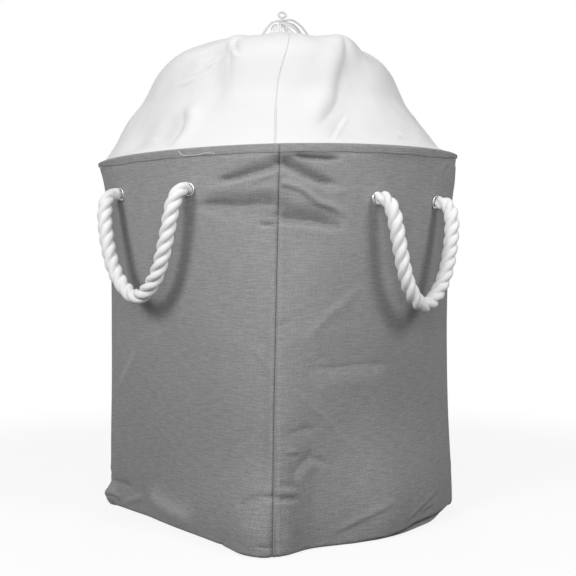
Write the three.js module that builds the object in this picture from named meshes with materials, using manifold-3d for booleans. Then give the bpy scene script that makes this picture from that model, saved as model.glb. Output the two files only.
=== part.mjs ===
// Soft laundry hamper: a square-based cloth bag with a wire hoop in its rim, four rope handles
// through metal eyelets, and a white drawstring collar pulled shut into a dome.
// Millimetres, +Z up, origin on the floor under the middle of the base.
import * as THREE from "three";
import { mergeVertices } from "three/addons/utils/BufferGeometryUtils.js";
import Module from "manifold-3d";

const wasm = await Module();
wasm.setup();

// Walls. A long reach runs from the axis to the two pointed corners, a short reach to the two
// flattened ones. Fullness is the exponent of the plan curve: 1 is a square, 2 an ellipse.
const BASE_REACH = 246;
const RIM_HEIGHT = 493;
const RIM_LONG_REACH = 258;
const RIM_SHORT_REACH = 211;
const WAIST_DRAW = 6;
const CLOTH = 2;
const BASE_FULLNESS = 1.05;
const RIM_FULLNESS = 1.8;
const PINCH_POWER = 12;
const FLATTEN_POWER = 1.2;

// Clearance between pieces that touch.
const GAP = 0.3;

// Floor of the hamper
const BOARD = 4;
const BOARD_INSET = 2;

// Rim: a folded hem over a sprung wire hoop
const HEM_CLOTH = 1.2;
const HEM_DEPTH = 15;
const HOOP_WIRE = 4;

// Tape that binds each corner seam inside
const TAPE = 1.2;
const TAPE_WIDTH = 14;
const TAPE_END = 6;

// Eyelets and the rope through them
const EYELET_HOLE = 11.8;
const EYELET_FLANGE = 17.6;
const EYELET_METAL = 0.8;
const EYELET_SEAT = 0.6;
const FLANGE_METAL = 1.2;
const WASHER_METAL = 1;
const CURL_WIDTH = 1.6;
const DRILL = 8;
const FRONT_EYELET_DROP = 54;
const RIGHT_EYELET_DROP = 65;
const REAR_EYELET_DROP = 59;
const ROPE = 20;
const ROPE_PIVOT = 15;
const ROPE_NECK = 15.4;
const ROPE_NECK_LENGTH = 22;
const ROPE_TIP = 8;
const NECK_GAP = 0.6;
const ROPE_KNOT = 26;
const ROPE_KNOT_LENGTH = 24;
const ROPE_DROP = 134;

// Drawstring collar and its cord
const COLLAR_RISE = 166;
const COLLAR_CLOTH = 1.2;
const COLLAR_FULLNESS = 2;
const SQUASH_POWER = 2;
const MOUTH = 25;
const CASING_BORE = 13;
const CASING_WIDTH = 56;
const CASING_HEIGHT = 28;
const CASING_TIP = 19;
const CORD = 3;
const CORD_RING = 43;
const KNOT = 10;
const TAIL_KNOT = 8;

// How finely the curved pieces are stepped
const WALL_STEPS = 12;
const WALL_ROWS = 8;
const COLLAR_STEPS = 12;
const ROPE_SIDES = 8;
const ROPE_STEPS = 26;
const CORD_SIDES = 8;
const CORD_STEP = 9;
const ROUND_STEPS = 12;
const CASING_STEPS = 20;
const TAPE_STEPS = 4;
const BALL_STEPS = 8;
const SLOPE_SHARE = 0.001;

const QUARTER = Math.PI / 2;
const UP = new THREE.Vector3(0, 0, 1);
const LATHE_AXIS = new THREE.Vector3(0, 1, 0);

// Each side of the bag: the quarter of the plan that it fills, and its handle: how far below the
// rim its eyelets are, and their shares of the quarter counted from its pointed corner. way is 1 where that corner
// comes first in the quarter, -1 where it comes last.
const SIDES = [
  { name: "front", quarter: 2, way: 1, drop: FRONT_EYELET_DROP, shares: [0.317, 0.656] },
  { name: "right", quarter: 3, way: -1, drop: RIGHT_EYELET_DROP, shares: [0.328, 0.622] },
  { name: "back", quarter: 0, way: 1, drop: REAR_EYELET_DROP, shares: [0.322, 0.64] },
  { name: "left", quarter: 1, way: -1, drop: REAR_EYELET_DROP, shares: [0.322, 0.64] },
];

// The handle's route from its pivot to its lowest point: shares of half the spacing along, of the
// drop outwards, and of the drop down.
const HANDLE_SHARES = [
  [1, 0, 0],
  [0.985, 0.058, 0.056],
  [0.956, 0.094, 0.149],
  [0.919, 0.112, 0.269],
  [0.859, 0.119, 0.403],
  [0.785, 0.123, 0.537],
  [0.689, 0.123, 0.672],
  [0.556, 0.119, 0.799],
  [0.378, 0.116, 0.903],
  [0.178, 0.112, 0.978],
  [0, 0.112, 1],
];

// Rings of the handle's rounded ends, as shares of the quarter circle from tip to full width.
const CAP_SHARES = [0.08, 0.36, 0.68];

// The knot inside the wall: shares of its radius, and of its length from its inner end.
const KNOT_SHARES = [
  [0, 1],
  [0.6, 0.95],
  [1, 0.6],
  [0.85, 0.15],
];

// The gathered cloth above the drawstring: shares of the casing's radius, and of its height.
const CASING_SHARES = [
  [1, 0],
  [0.96, 0.18],
  [0.7, 0.38],
  [0.48, 0.66],
];

// The collar's outline above the rim: shares of its reach at the rim, and of its rise.
const COLLAR_SHARES = [
  [0.937, 0.12],
  [0.881, 0.229],
  [0.817, 0.349],
  [0.766, 0.452],
  [0.734, 0.548],
  [0.706, 0.639],
  [0.671, 0.735],
  [0.615, 0.825],
  [0.524, 0.904],
  [0.397, 0.958],
  [0.246, 0.988],
  [0.119, 0.997],
];

// The free stretches of the drawstring, as they lie on the collar: X is towards the pointed corner
// at the back right, Y away from the flattened corner in front.
const KNOT_PLACE = [2, -14.8, 690.5];
const LEAD_ROUTE = [
  [-31, -1, 662.5],
  [-28.5, -3, 668],
  [-22, -7, 676],
  [-16, -11, 683.5],
  [-9.5, -13.5, 689],
  [-3.6, -14.6, 690.5],
];
const TOP_LOOP_ROUTE = [
  [0.5, -15.5, 695.6],
  [-1.5, -14.5, 699.5],
  [1.5, -12, 703],
  [6.5, -10, 703],
  [9.5, -9.5, 699.5],
  [7.6, -11, 697.4],
  [4.2, -12.5, 695.4],
];
const BOW_ROUTE = [
  [7.5, -13.5, 691.5],
  [16, -11, 693],
  [27, -6, 688.5],
  [37, 0, 679],
  [44, 7, 668.5],
  [49, 16, 661.5],
  [50, 27, 659.3],
  [45, 34, 659.4],
  [39, 30, 659.9],
  [37, 21, 663],
  [35, 12, 669.5],
  [30, 5, 678],
  [21, -3, 686.5],
  [12.5, -8.5, 688.8],
  [7.3, -12, 689.4],
];
const TAIL_ROUTES = {
  right: [
    [6.8, -16.8, 687.2],
    [14.5, -18.5, 683.5],
    [24, -15, 677.5],
    [31, -7, 669],
    [34, 3, 663],
    [33.6, 14, 660.8],
    [33.4, 24, 660.3],
    [33, 42, 659.7],
    [31, 62.3, 658.2],
    [28, 82.3, 655.9],
    [26, 100.7, 652.7],
    [25, 116.7, 648],
    [25.3, 131.6, 642.2],
    [26, 142, 634.2],
    [26.4, 149.9, 626.6],
    [27.2, 156.8, 612],
    [29, 161.2, 599],
  ],
  left: [
    [4.8, -20, 686.4],
    [12, -23.5, 679],
    [22, -21.5, 668],
    [28.5, -13, 662],
    [30.2, -2, 661],
    [29.8, 8, 660.8],
    [27.4, 20, 660.5],
    [20, 34.1, 660.3],
    [14, 56.1, 659.4],
    [9, 77.3, 657.1],
    [5, 97.3, 654.4],
    [3, 114.7, 649.6],
    [2, 130.3, 644.2],
    [1.5, 143, 636],
    [1, 152.9, 625.6],
    [0.5, 158.8, 610.8],
    [-1, 162, 596],
    [-3, 165.2, 581],
    [-7, 170, 568],
  ],
};

const CLOTH_FINISH = { color: 0x8c8c8c, roughness: 0.95, metalness: 0 };
const COLLAR_FINISH = { color: 0xf0f0ee, roughness: 0.85, metalness: 0 };
const ROPE_FINISH = { color: 0xe9e8e4, roughness: 0.9, metalness: 0 };
const CORD_FINISH = { color: 0xd4d4d2, roughness: 0.8, metalness: 0 };
const EYELET_FINISH = { color: 0xc9cacc, roughness: 0.25, metalness: 1 };
const WIRE_FINISH = { color: 0x9a9c9e, roughness: 0.35, metalness: 1 };
const BOARD_FINISH = { color: 0x6f6a62, roughness: 0.9, metalness: 0 };

// Heights at which a wall is stepped, up to its hem
const hemBottom = RIM_HEIGHT - HEM_DEPTH;
const wallHeights = Array.from({ length: WALL_ROWS + 1 }, (_, i) => (i / WALL_ROWS) * hemBottom);

const hamper = new THREE.Group();

function addMesh(parent, name, geometry, finish) {
  const mesh = new THREE.Mesh(geometry, new THREE.MeshStandardMaterial(finish));
  mesh.name = name;
  parent.add(mesh);
  return mesh;
}

// Plan curve: turn runs counter-clockwise from the pointed corner at the back right.
function planPoint(turn, long, short, fullness) {
  const cos = Math.cos(turn);
  const sin = Math.sin(turn);
  const power = 2 / fullness;
  const along = long * Math.sign(cos) * Math.abs(cos) ** power;
  const across = short * Math.sign(sin) * Math.abs(sin) ** power;
  return [(along - across) * Math.SQRT1_2, (along + across) * Math.SQRT1_2];
}

function fullnessAt(height) {
  const rise = height / RIM_HEIGHT;
  return THREE.MathUtils.lerp(BASE_FULLNESS, RIM_FULLNESS, rise ** FLATTEN_POWER);
}

// How much the reach shrinks for each millimetre of depth, so that a wall keeps its thickness.
function mitreAt(fullness) {
  return 2 ** (1 / fullness - 1 / 2);
}

// The wall's smooth surface: depth is measured inwards from its outer face.
function smoothPoint(turn, height, depth = 0) {
  const rise = height / RIM_HEIGHT;
  const fullness = fullnessAt(height);
  const inset = depth * mitreAt(fullness);
  const waist = WAIST_DRAW * Math.sin(Math.PI * rise);
  const long = THREE.MathUtils.lerp(BASE_REACH, RIM_LONG_REACH, rise ** PINCH_POWER);
  const short = THREE.MathUtils.lerp(BASE_REACH, RIM_SHORT_REACH, rise ** FLATTEN_POWER);
  const [x, y] = planPoint(turn, long - waist - inset, short - inset, fullness);
  return new THREE.Vector3(x, y, height);
}

// A point of the wall as it is stepped, so that whatever meets the wall fits its facets.
function wallPoint(turn, height, depth = 0) {
  const round = turn / (QUARTER / WALL_STEPS);
  const rows = [...wallHeights, RIM_HEIGHT];
  const above = rows.findIndex((row) => row >= height);
  const high = above < 1 ? 1 : above;
  const rise = (height - rows[high - 1]) / (rows[high] - rows[high - 1]);
  const first = Math.floor(round) * (QUARTER / WALL_STEPS);
  const second = first + QUARTER / WALL_STEPS;
  const part = round - Math.floor(round);
  const [low, top] = [rows[high - 1], rows[high]].map((row) =>
    smoothPoint(first, row, depth).lerp(smoothPoint(second, row, depth), part),
  );
  return low.lerp(top, rise);
}

// Outward normal of a surface given as a function of turn and a second value, over a patch that
// reaches turnStep and step to each side.
function normalOf(surface, turn, value, turnStep, step) {
  const round = surface(turn + turnStep, value).sub(surface(turn - turnStep, value));
  const rising = surface(turn, value + step).sub(surface(turn, value - step));
  return round.cross(rising).normalize();
}

// A closed skin between two grids of points. outer and inner take shares from 0 to 1 across and up.
function skinGeometry(across, up, outer, inner) {
  const points = [];
  for (const face of [outer, inner])
    for (let j = 0; j <= up; j++)
      for (let i = 0; i <= across; i++) points.push(...face(i / across, j / up).toArray());
  const layer = (across + 1) * (up + 1);
  const at = (side, i, j) => side * layer + j * (across + 1) + i;
  const index = [];
  const quad = (a, b, c, d) => index.push(a, b, c, a, c, d);
  for (let j = 0; j < up; j++)
    for (let i = 0; i < across; i++) {
      quad(at(0, i, j), at(0, i + 1, j), at(0, i + 1, j + 1), at(0, i, j + 1));
      quad(at(1, i, j), at(1, i, j + 1), at(1, i + 1, j + 1), at(1, i + 1, j));
    }
  for (let i = 0; i < across; i++) {
    quad(at(0, i, 0), at(1, i, 0), at(1, i + 1, 0), at(0, i + 1, 0));
    quad(at(0, i, up), at(0, i + 1, up), at(1, i + 1, up), at(1, i, up));
  }
  for (let j = 0; j < up; j++) {
    quad(at(0, 0, j), at(0, 0, j + 1), at(1, 0, j + 1), at(1, 0, j));
    quad(at(0, across, j), at(1, across, j), at(1, across, j + 1), at(0, across, j + 1));
  }
  return indexedGeometry(points, index);
}

function indexedGeometry(points, index) {
  const geometry = new THREE.BufferGeometry();
  geometry.setAttribute("position", new THREE.Float32BufferAttribute(points, 3));
  geometry.setIndex(index);
  geometry.computeVertexNormals();
  return geometry;
}

// A closed solid through rings of points, each ring counter-clockwise seen from ahead. The last
// ring meets the first when joined is true; otherwise both ends are capped with a fan.
function loftGeometry(rings, joined = false) {
  const sides = rings[0].length;
  const points = rings.flat().flatMap((p) => p.toArray());
  const index = [];
  const spans = joined ? rings.length : rings.length - 1;
  for (let j = 0; j < spans; j++)
    for (let i = 0; i < sides; i++) {
      const a = j * sides + i;
      const b = j * sides + ((i + 1) % sides);
      const c = ((j + 1) % rings.length) * sides + ((i + 1) % sides);
      const d = ((j + 1) % rings.length) * sides + i;
      index.push(a, b, c, a, c, d);
    }
  if (!joined)
    for (let i = 1; i < sides - 1; i++) {
      const last = (rings.length - 1) * sides;
      index.push(0, i + 1, i);
      index.push(last, last + i, last + i + 1);
    }
  return indexedGeometry(points, index);
}

function ringAround(centre, ahead, side, radius, sides) {
  const rise = new THREE.Vector3().crossVectors(ahead, side);
  return Array.from({ length: sides }, (_, i) => {
    const angle = (i / sides) * 4 * QUARTER;
    return centre
      .clone()
      .addScaledVector(side, radius * Math.cos(angle))
      .addScaledVector(rise, radius * Math.sin(angle));
  });
}

function manifoldOf(geometry) {
  const bare = geometry.index ? geometry.toNonIndexed() : geometry.clone();
  bare.deleteAttribute("normal");
  bare.deleteAttribute("uv");
  const merged = mergeVertices(bare);
  return new wasm.Manifold(
    new wasm.Mesh({
      numProp: 3,
      vertProperties: merged.attributes.position.array,
      triVerts: new Uint32Array(merged.index.array),
    }),
  );
}

function geometryOf(manifold) {
  const mesh = manifold.getMesh();
  return indexedGeometry(Array.from(mesh.vertProperties), Array.from(mesh.triVerts));
}

// Profile of [radius, height] pairs turned round the Y axis, up the outside and down the inside.
function turnedGeometry(profile, steps) {
  return new THREE.LatheGeometry(profile.map(([r, y]) => new THREE.Vector2(r, y)), steps);
}

// Turn at a share of a side's quarter, counted from the quarter's start.
function sideTurn(side, share) {
  return (side.quarter + share) * QUARTER;
}

// Where an eyelet stands on its wall, and which way it points.
function eyeletSeat(side, share) {
  const turn = sideTurn(side, side.way > 0 ? share : 1 - share);
  const height = RIM_HEIGHT - side.drop;
  const patch = EYELET_FLANGE / 2;
  return {
    point: wallPoint(turn, height),
    normal: normalOf((t, h) => wallPoint(t, h), turn, height, patch / RIM_SHORT_REACH, patch),
  };
}

function placeOn(mesh, seat) {
  mesh.position.copy(seat.point);
  mesh.quaternion.setFromUnitVectors(LATHE_AXIS, seat.normal);
}

const hemInner = HOOP_WIRE + GAP;
const hoopHeight = RIM_HEIGHT - HEM_CLOTH - GAP - HOOP_WIRE / 2;
const wallTop = hoopHeight - HOOP_WIRE / 2 - GAP;
const skirtDepth = hemInner + HEM_CLOTH + GAP;
const collarReach = wallPoint(0, RIM_HEIGHT, skirtDepth).setZ(0).length();

// A wall with the holes that its two eyelets pass through.
function wallGeometry(side) {
  const rows = [...wallHeights, wallTop];
  const at = (depth) => (a, u) =>
    wallPoint(sideTurn(side, a), rows[Math.round(u * (rows.length - 1))], depth);
  const skin = skinGeometry(WALL_STEPS, rows.length - 1, at(0), at(CLOTH));
  let wall = manifoldOf(skin);
  const holeRadius = EYELET_HOLE / 2 + EYELET_METAL + GAP;
  for (const share of side.shares) {
    const seat = eyeletSeat(side, share);
    const drill = new THREE.CylinderGeometry(holeRadius, holeRadius, DRILL, ROUND_STEPS);
    const turned = new THREE.Quaternion().setFromUnitVectors(LATHE_AXIS, seat.normal);
    drill.applyQuaternion(turned).translate(...seat.point.toArray());
    wall = wall.subtract(manifoldOf(drill));
  }
  return geometryOf(wall);
}

// The hem's cloth, folded over the hoop: outside and inside of the fold as depth and height.
const hemOutside = [
  [-GAP - HEM_CLOTH, hemBottom],
  [-GAP - HEM_CLOTH, RIM_HEIGHT - HEM_CLOTH],
  [-GAP, RIM_HEIGHT],
  [hemInner, RIM_HEIGHT],
  [hemInner + HEM_CLOTH, RIM_HEIGHT - HEM_CLOTH],
  [hemInner + HEM_CLOTH, hemBottom],
];
const hemInside = [
  [-GAP, hemBottom],
  [-GAP, RIM_HEIGHT - 2 * HEM_CLOTH],
  [HEM_CLOTH - GAP, RIM_HEIGHT - HEM_CLOTH],
  [hemInner - HEM_CLOTH, RIM_HEIGHT - HEM_CLOTH],
  [hemInner, RIM_HEIGHT - 2 * HEM_CLOTH],
  [hemInner, hemBottom],
];

function hemGeometry(side) {
  const rows = hemOutside.length - 1;
  const at = (section) => (a, u) => {
    const [depth, height] = section[Math.round(u * rows)];
    return wallPoint(sideTurn(side, a), height, depth);
  };
  return skinGeometry(WALL_STEPS, rows, at(hemOutside), at(hemInside));
}

function hoopGeometry() {
  const steps = 4 * WALL_STEPS;
  const middleDepth = HOOP_WIRE / 2;
  const rings = Array.from({ length: steps }, (_, i) => {
    const turn = (i / WALL_STEPS) * QUARTER;
    const centre = wallPoint(turn, hoopHeight, middleDepth);
    const side = centre.clone().setZ(0).normalize();
    const ahead = new THREE.Vector3().crossVectors(UP, side);
    return ringAround(centre, ahead, side, HOOP_WIRE / 2, ROPE_SIDES);
  });
  return loftGeometry(rings, true);
}

// Height and reach of the collar at a share of its rows. The first two rows are its skirt in the hem.
function collarPoint(turn, row) {
  if (row <= 1) {
    const height = THREE.MathUtils.lerp(hemBottom, RIM_HEIGHT, row);
    return wallPoint(turn, height, skirtDepth);
  }
  const shares = [[1, 0], ...COLLAR_SHARES, [MOUTH / 2 / collarReach, 1]];
  const low = Math.min(Math.floor(row) - 1, shares.length - 2);
  const part = row - 1 - low;
  const reachShare = THREE.MathUtils.lerp(shares[low][0], shares[low + 1][0], part);
  const riseShare = THREE.MathUtils.lerp(shares[low][1], shares[low + 1][1], part);
  const shortShare = (RIM_SHORT_REACH - skirtDepth) / collarReach;
  const squash = THREE.MathUtils.lerp(shortShare, 1, riseShare ** SQUASH_POWER);
  const fullness = THREE.MathUtils.lerp(RIM_FULLNESS, COLLAR_FULLNESS, riseShare);
  const long = collarReach * reachShare;
  const [x, y] = planPoint(turn, long, long * squash, fullness);
  return new THREE.Vector3(x, y, RIM_HEIGHT + COLLAR_RISE * riseShare);
}

function collarGeometry(side) {
  const rows = COLLAR_SHARES.length + 2;
  const outer = (a, u) => collarPoint(sideTurn(side, a), u * rows);
  const inner = (a, u) => {
    const turn = sideTurn(side, a);
    const row = Math.min(u * rows, rows - 1 / 2);
    const patch = QUARTER * SLOPE_SHARE;
    const normal = normalOf(collarPoint, turn, Math.max(row, 1 / 2), patch, 1 / 2);
    return outer(a, u).addScaledVector(normal, -COLLAR_CLOTH);
  };
  return skinGeometry(COLLAR_STEPS, rows, outer, inner);
}

// Tape folded into a corner, over the seam between two walls.
function tapeGeometry(corner) {
  const low = CLOTH + GAP + BOARD + GAP + TAPE_END;
  const high = hemBottom - TAPE_END;
  const depth = CLOTH + GAP;
  const heights = [low, ...wallHeights.slice(1, -1), high];
  const spread = (height) => {
    const reach = corner % 2 ? RIM_LONG_REACH : RIM_SHORT_REACH;
    return Math.asin((TAPE_WIDTH / reach) ** (fullnessAt(height) / 2));
  };
  const at = (inset) => (a, u) => {
    const height = heights[Math.round(u * (heights.length - 1))];
    return wallPoint(corner * QUARTER + (2 * a - 1) * spread(height), height, inset);
  };
  return skinGeometry(TAPE_STEPS, heights.length - 1, at(depth), at(depth + TAPE));
}

// A flat sheet with the base's outline.
function slabGeometry(depth, low, thickness) {
  const outline = Array.from({ length: 4 * WALL_STEPS }, (_, i) => {
    const point = wallPoint((i / WALL_STEPS) * QUARTER, 0, depth);
    return new THREE.Vector2(point.x, point.y);
  });
  const slab = new THREE.ExtrudeGeometry(new THREE.Shape(outline), {
    depth: thickness,
    bevelEnabled: false,
  });
  return slab.translate(0, 0, low);
}

function eyeletGeometry() {
  const hole = EYELET_HOLE / 2;
  const barrel = hole + EYELET_METAL;
  const flange = EYELET_FLANGE / 2;
  const washerBack = -CLOTH - EYELET_SEAT - WASHER_METAL;
  const curlFace = washerBack - GAP;
  return turnedGeometry(
    [
      [hole, curlFace - EYELET_METAL],
      [barrel + CURL_WIDTH, curlFace - EYELET_METAL],
      [barrel + CURL_WIDTH, curlFace],
      [barrel, curlFace],
      [barrel, EYELET_SEAT],
      [flange, EYELET_SEAT],
      [flange - FLANGE_METAL / 2, EYELET_SEAT + FLANGE_METAL],
      [hole, EYELET_SEAT + FLANGE_METAL],
      [hole, curlFace - EYELET_METAL],
    ],
    ROUND_STEPS,
  );
}

function washerGeometry() {
  const inner = EYELET_HOLE / 2 + EYELET_METAL + GAP;
  const outer = EYELET_FLANGE / 2;
  const front = -CLOTH - EYELET_SEAT;
  return turnedGeometry(
    [
      [inner, front - WASHER_METAL],
      [outer, front - WASHER_METAL],
      [outer, front],
      [inner, front],
      [inner, front - WASHER_METAL],
    ],
    ROUND_STEPS,
  );
}

// The rope's end: squeezed through the eyelet, with the knot that holds it inside the wall.
function ropeEndGeometry() {
  const squeezed = EYELET_HOLE / 2 - GAP;
  const collar = EYELET_SEAT + FLANGE_METAL + GAP;
  const face = ROPE_PIVOT - ROPE_NECK / 2 - NECK_GAP;
  const knot = ROPE_KNOT / 2;
  const curlBack = -CLOTH - EYELET_SEAT - WASHER_METAL - GAP - EYELET_METAL;
  const knotFront = curlBack - GAP;
  return turnedGeometry(
    [
      ...KNOT_SHARES.map(([r, y]) => [knot * r, knotFront - ROPE_KNOT_LENGTH * y]),
      [squeezed, knotFront],
      [squeezed, collar],
      [ROPE_TIP / 2, face],
      [0, face],
    ],
    ROUND_STEPS,
  );
}

// The two ends of a handle's pivot line, one off each eyelet.
function pivotEnds(side) {
  return side.shares.map((share) => {
    const seat = eyeletSeat(side, share);
    return seat.point.clone().addScaledVector(seat.normal, ROPE_PIVOT);
  });
}

// The rope's radius at a distance from the nearer end of the handle.
function handleRadius(distance) {
  const share = THREE.MathUtils.smoothstep(distance, 0, ROPE_NECK_LENGTH);
  return THREE.MathUtils.lerp(ROPE_NECK, ROPE, share) / 2;
}

// The rope handle, built round its pivot: X along the pivot line, Y outwards, Z up.
function handleGeometry(half) {
  const right = HANDLE_SHARES.map(
    ([along, out, down]) =>
      new THREE.Vector3(along * half, out * ROPE_DROP, -down * ROPE_DROP),
  );
  const left = right.slice(0, -1).map((p) => new THREE.Vector3(-p.x, p.y, p.z));
  const curve = new THREE.CatmullRomCurve3([...left, ...right.reverse()], false, "catmullrom");
  const neck = ROPE_NECK / 2;
  const length = curve.getLength();
  const rings = [];
  const addRing = (centre, ahead, size) => {
    const side = new THREE.Vector3(0, 1, 0).addScaledVector(ahead, -ahead.y).normalize();
    rings.push(ringAround(centre, ahead, side, size, ROPE_SIDES));
  };
  const start = curve.getTangentAt(0);
  const end = curve.getTangentAt(1);
  for (const share of CAP_SHARES) {
    const angle = share * QUARTER;
    const back = curve.getPointAt(0).addScaledVector(start, -neck * Math.cos(angle));
    addRing(back, start, neck * Math.sin(angle));
  }
  for (let i = 0; i <= ROPE_STEPS; i++) {
    const share = i / ROPE_STEPS;
    const radius = handleRadius(length * Math.min(share, 1 - share));
    addRing(curve.getPointAt(share), curve.getTangentAt(share), radius);
  }
  for (const share of CAP_SHARES.toReversed()) {
    const angle = share * QUARTER;
    const ahead = curve.getPointAt(1).addScaledVector(end, neck * Math.cos(angle));
    addRing(ahead, end, neck * Math.sin(angle));
  }
  return loftGeometry(rings);
}

// The gathered cloth that closes the collar: a channel for the drawstring, and the tuft above it.
function casingGeometry() {
  const wide = CASING_WIDTH / 2;
  const bore = CASING_BORE / 2;
  const slotIn = CORD_RING / 2 - CORD / 2 - GAP;
  const slotOut = CORD_RING / 2 + CORD / 2 + GAP;
  const slotTop = CORD + 2 * GAP;
  return turnedGeometry(
    [
      [bore, 0],
      [slotIn, 0],
      [slotIn, slotTop],
      [slotOut, slotTop],
      [slotOut, 0],
      ...CASING_SHARES.map(([r, y]) => [wide * r, CASING_HEIGHT * y]),
      [CASING_TIP / 2, CASING_HEIGHT],
      [bore, CASING_HEIGHT],
      [bore, 0],
    ],
    CASING_STEPS,
  );
}

function cordGeometry(route) {
  const curve = new THREE.CatmullRomCurve3(route.map((p) => new THREE.Vector3(...p)));
  const section = new THREE.Shape(
    Array.from({ length: CORD_SIDES }, (_, i) => {
      const angle = (i / CORD_SIDES) * 4 * QUARTER;
      return new THREE.Vector2(Math.cos(angle), Math.sin(angle)).multiplyScalar(CORD / 2);
    }),
  );
  const steps = Math.ceil(curve.getLength() / CORD_STEP);
  return new THREE.ExtrudeGeometry(section, { steps, extrudePath: curve, bevelEnabled: false });
}

function buildFloor() {
  const inside = CLOTH + GAP;
  addMesh(hamper, "bottom_panel", slabGeometry(inside, 0, CLOTH), CLOTH_FINISH);
  const boardBottom = CLOTH + GAP;
  const board = slabGeometry(inside + BOARD_INSET, boardBottom, BOARD);
  addMesh(hamper, "base_board", board, BOARD_FINISH);
}

// Everything sewn to or set in one side, moved out by the seam clearance.
function buildSide(side) {
  const group = new THREE.Group();
  const direction = (side.quarter + 1) * QUARTER;
  const shift = GAP * Math.SQRT1_2;
  group.position.set(shift * Math.cos(direction), shift * Math.sin(direction), 0);
  hamper.add(group);
  addMesh(group, `${side.name}_panel`, wallGeometry(side), CLOTH_FINISH);
  addMesh(group, `hem_${side.name}`, hemGeometry(side), CLOTH_FINISH);
  addMesh(group, `collar_${side.name}`, collarGeometry(side), COLLAR_FINISH);
  side.shares.forEach((share, i) => {
    const seat = eyeletSeat(side, share);
    const mark = `${side.name}_${i + 1}`;
    placeOn(addMesh(group, `eyelet_${mark}`, eyeletGeometry(), EYELET_FINISH), seat);
    placeOn(addMesh(group, `washer_${mark}`, washerGeometry(), EYELET_FINISH), seat);
    placeOn(addMesh(group, `rope_end_${mark}`, ropeEndGeometry(), ROPE_FINISH), seat);
  });
  buildHandle(group, side);
}

function buildHandle(group, side) {
  const [first, second] = pivotEnds(side);
  const handle = new THREE.Group();
  const along = second.clone().sub(first).multiplyScalar(-side.way);
  const half = along.length() / 2;
  along.normalize();
  const out = new THREE.Vector3().crossVectors(UP, along).normalize();
  const rise = new THREE.Vector3().crossVectors(along, out);
  handle.position.addVectors(first, second).multiplyScalar(1 / 2);
  handle.quaternion.setFromRotationMatrix(new THREE.Matrix4().makeBasis(along, out, rise));
  handle.name = `pivot_${side.name}`;
  group.add(handle);
  addMesh(handle, `handle_${side.name}`, handleGeometry(half), ROPE_FINISH);
}

function buildCasing() {
  const top = RIM_HEIGHT + COLLAR_RISE + GAP;
  const casing = addMesh(hamper, "collar_casing", casingGeometry(), COLLAR_FINISH);
  casing.rotation.x = QUARTER;
  casing.position.z = top;
  const ring = new THREE.TorusGeometry(CORD_RING / 2, CORD / 2, CORD_SIDES, CASING_STEPS);
  const cord = addMesh(hamper, "drawstring_in_channel", ring, CORD_FINISH);
  cord.position.z = top + GAP + CORD / 2;
}

function buildDrawstring() {
  const bow = new THREE.Group();
  bow.rotation.z = QUARTER / 2;
  hamper.add(bow);
  const ball = new THREE.SphereGeometry(KNOT / 2, BALL_STEPS, BALL_STEPS);
  addMesh(bow, "drawstring_knot", ball, CORD_FINISH).position.set(...KNOT_PLACE);
  addMesh(bow, "drawstring_lead", cordGeometry(LEAD_ROUTE), CORD_FINISH);
  addMesh(bow, "drawstring_top_loop", cordGeometry(TOP_LOOP_ROUTE), CORD_FINISH);
  addMesh(bow, "drawstring_bow", cordGeometry(BOW_ROUTE), CORD_FINISH);
  for (const [name, route] of Object.entries(TAIL_ROUTES)) {
    addMesh(bow, `drawstring_tail_${name}`, cordGeometry(route), CORD_FINISH);
    const end = new THREE.SphereGeometry(TAIL_KNOT / 2, BALL_STEPS, BALL_STEPS);
    const last = new THREE.Vector3(...route.at(-1));
    const before = new THREE.Vector3(...route.at(-2));
    const onward = last.clone().sub(before).normalize();
    const centre = last.addScaledVector(onward, TAIL_KNOT / 2 + GAP);
    addMesh(bow, `tail_knot_${name}`, end, CORD_FINISH).position.copy(centre);
  }
}

buildFloor();
SIDES.forEach(buildSide);
["back_right", "back_left", "front_left", "front_right"].forEach((name, corner) =>
  addMesh(hamper, `corner_tape_${name}`, tapeGeometry(corner), CLOTH_FINISH),
);
addMesh(hamper, "rim_hoop", hoopGeometry(), WIRE_FINISH);
buildCasing();
buildDrawstring();

export default hamper;
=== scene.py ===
"""Soft laundry hamper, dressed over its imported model.

A square-based canvas bag stands on a stiff board, with a wire hoop in its hem. Four rope
handles pass through eyelets, and a white collar is drawn shut over the mouth. Metres, +Z up.
"""

import logging
import math
from abc import ABC, abstractmethod
from dataclasses import dataclass, field
from enum import Enum
from typing import Any, Sequence

import bpy
import numpy as np
from mathutils import Matrix, Vector

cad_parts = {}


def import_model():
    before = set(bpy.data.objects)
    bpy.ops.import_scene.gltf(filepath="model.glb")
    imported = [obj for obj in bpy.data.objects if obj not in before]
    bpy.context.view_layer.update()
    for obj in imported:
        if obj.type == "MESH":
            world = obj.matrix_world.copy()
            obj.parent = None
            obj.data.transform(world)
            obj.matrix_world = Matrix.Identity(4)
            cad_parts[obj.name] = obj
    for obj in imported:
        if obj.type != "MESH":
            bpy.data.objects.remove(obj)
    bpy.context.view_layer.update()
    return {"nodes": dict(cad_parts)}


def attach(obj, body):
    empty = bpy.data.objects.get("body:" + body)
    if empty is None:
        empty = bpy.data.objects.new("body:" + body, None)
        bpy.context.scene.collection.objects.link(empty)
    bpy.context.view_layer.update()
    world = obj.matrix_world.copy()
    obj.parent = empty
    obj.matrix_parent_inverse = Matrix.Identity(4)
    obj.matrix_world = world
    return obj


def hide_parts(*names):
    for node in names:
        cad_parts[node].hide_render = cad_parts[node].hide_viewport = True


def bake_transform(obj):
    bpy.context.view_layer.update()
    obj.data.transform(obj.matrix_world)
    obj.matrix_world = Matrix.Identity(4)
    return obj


log = logging.getLogger("hamper")

Array = np.ndarray
Pairs = tuple[tuple[float, float], ...]
MM = 0.001
QUARTER = math.pi / 2
DIAGONAL = math.sqrt(0.5)
UP = np.array([0.0, 0.0, 1.0])


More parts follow.
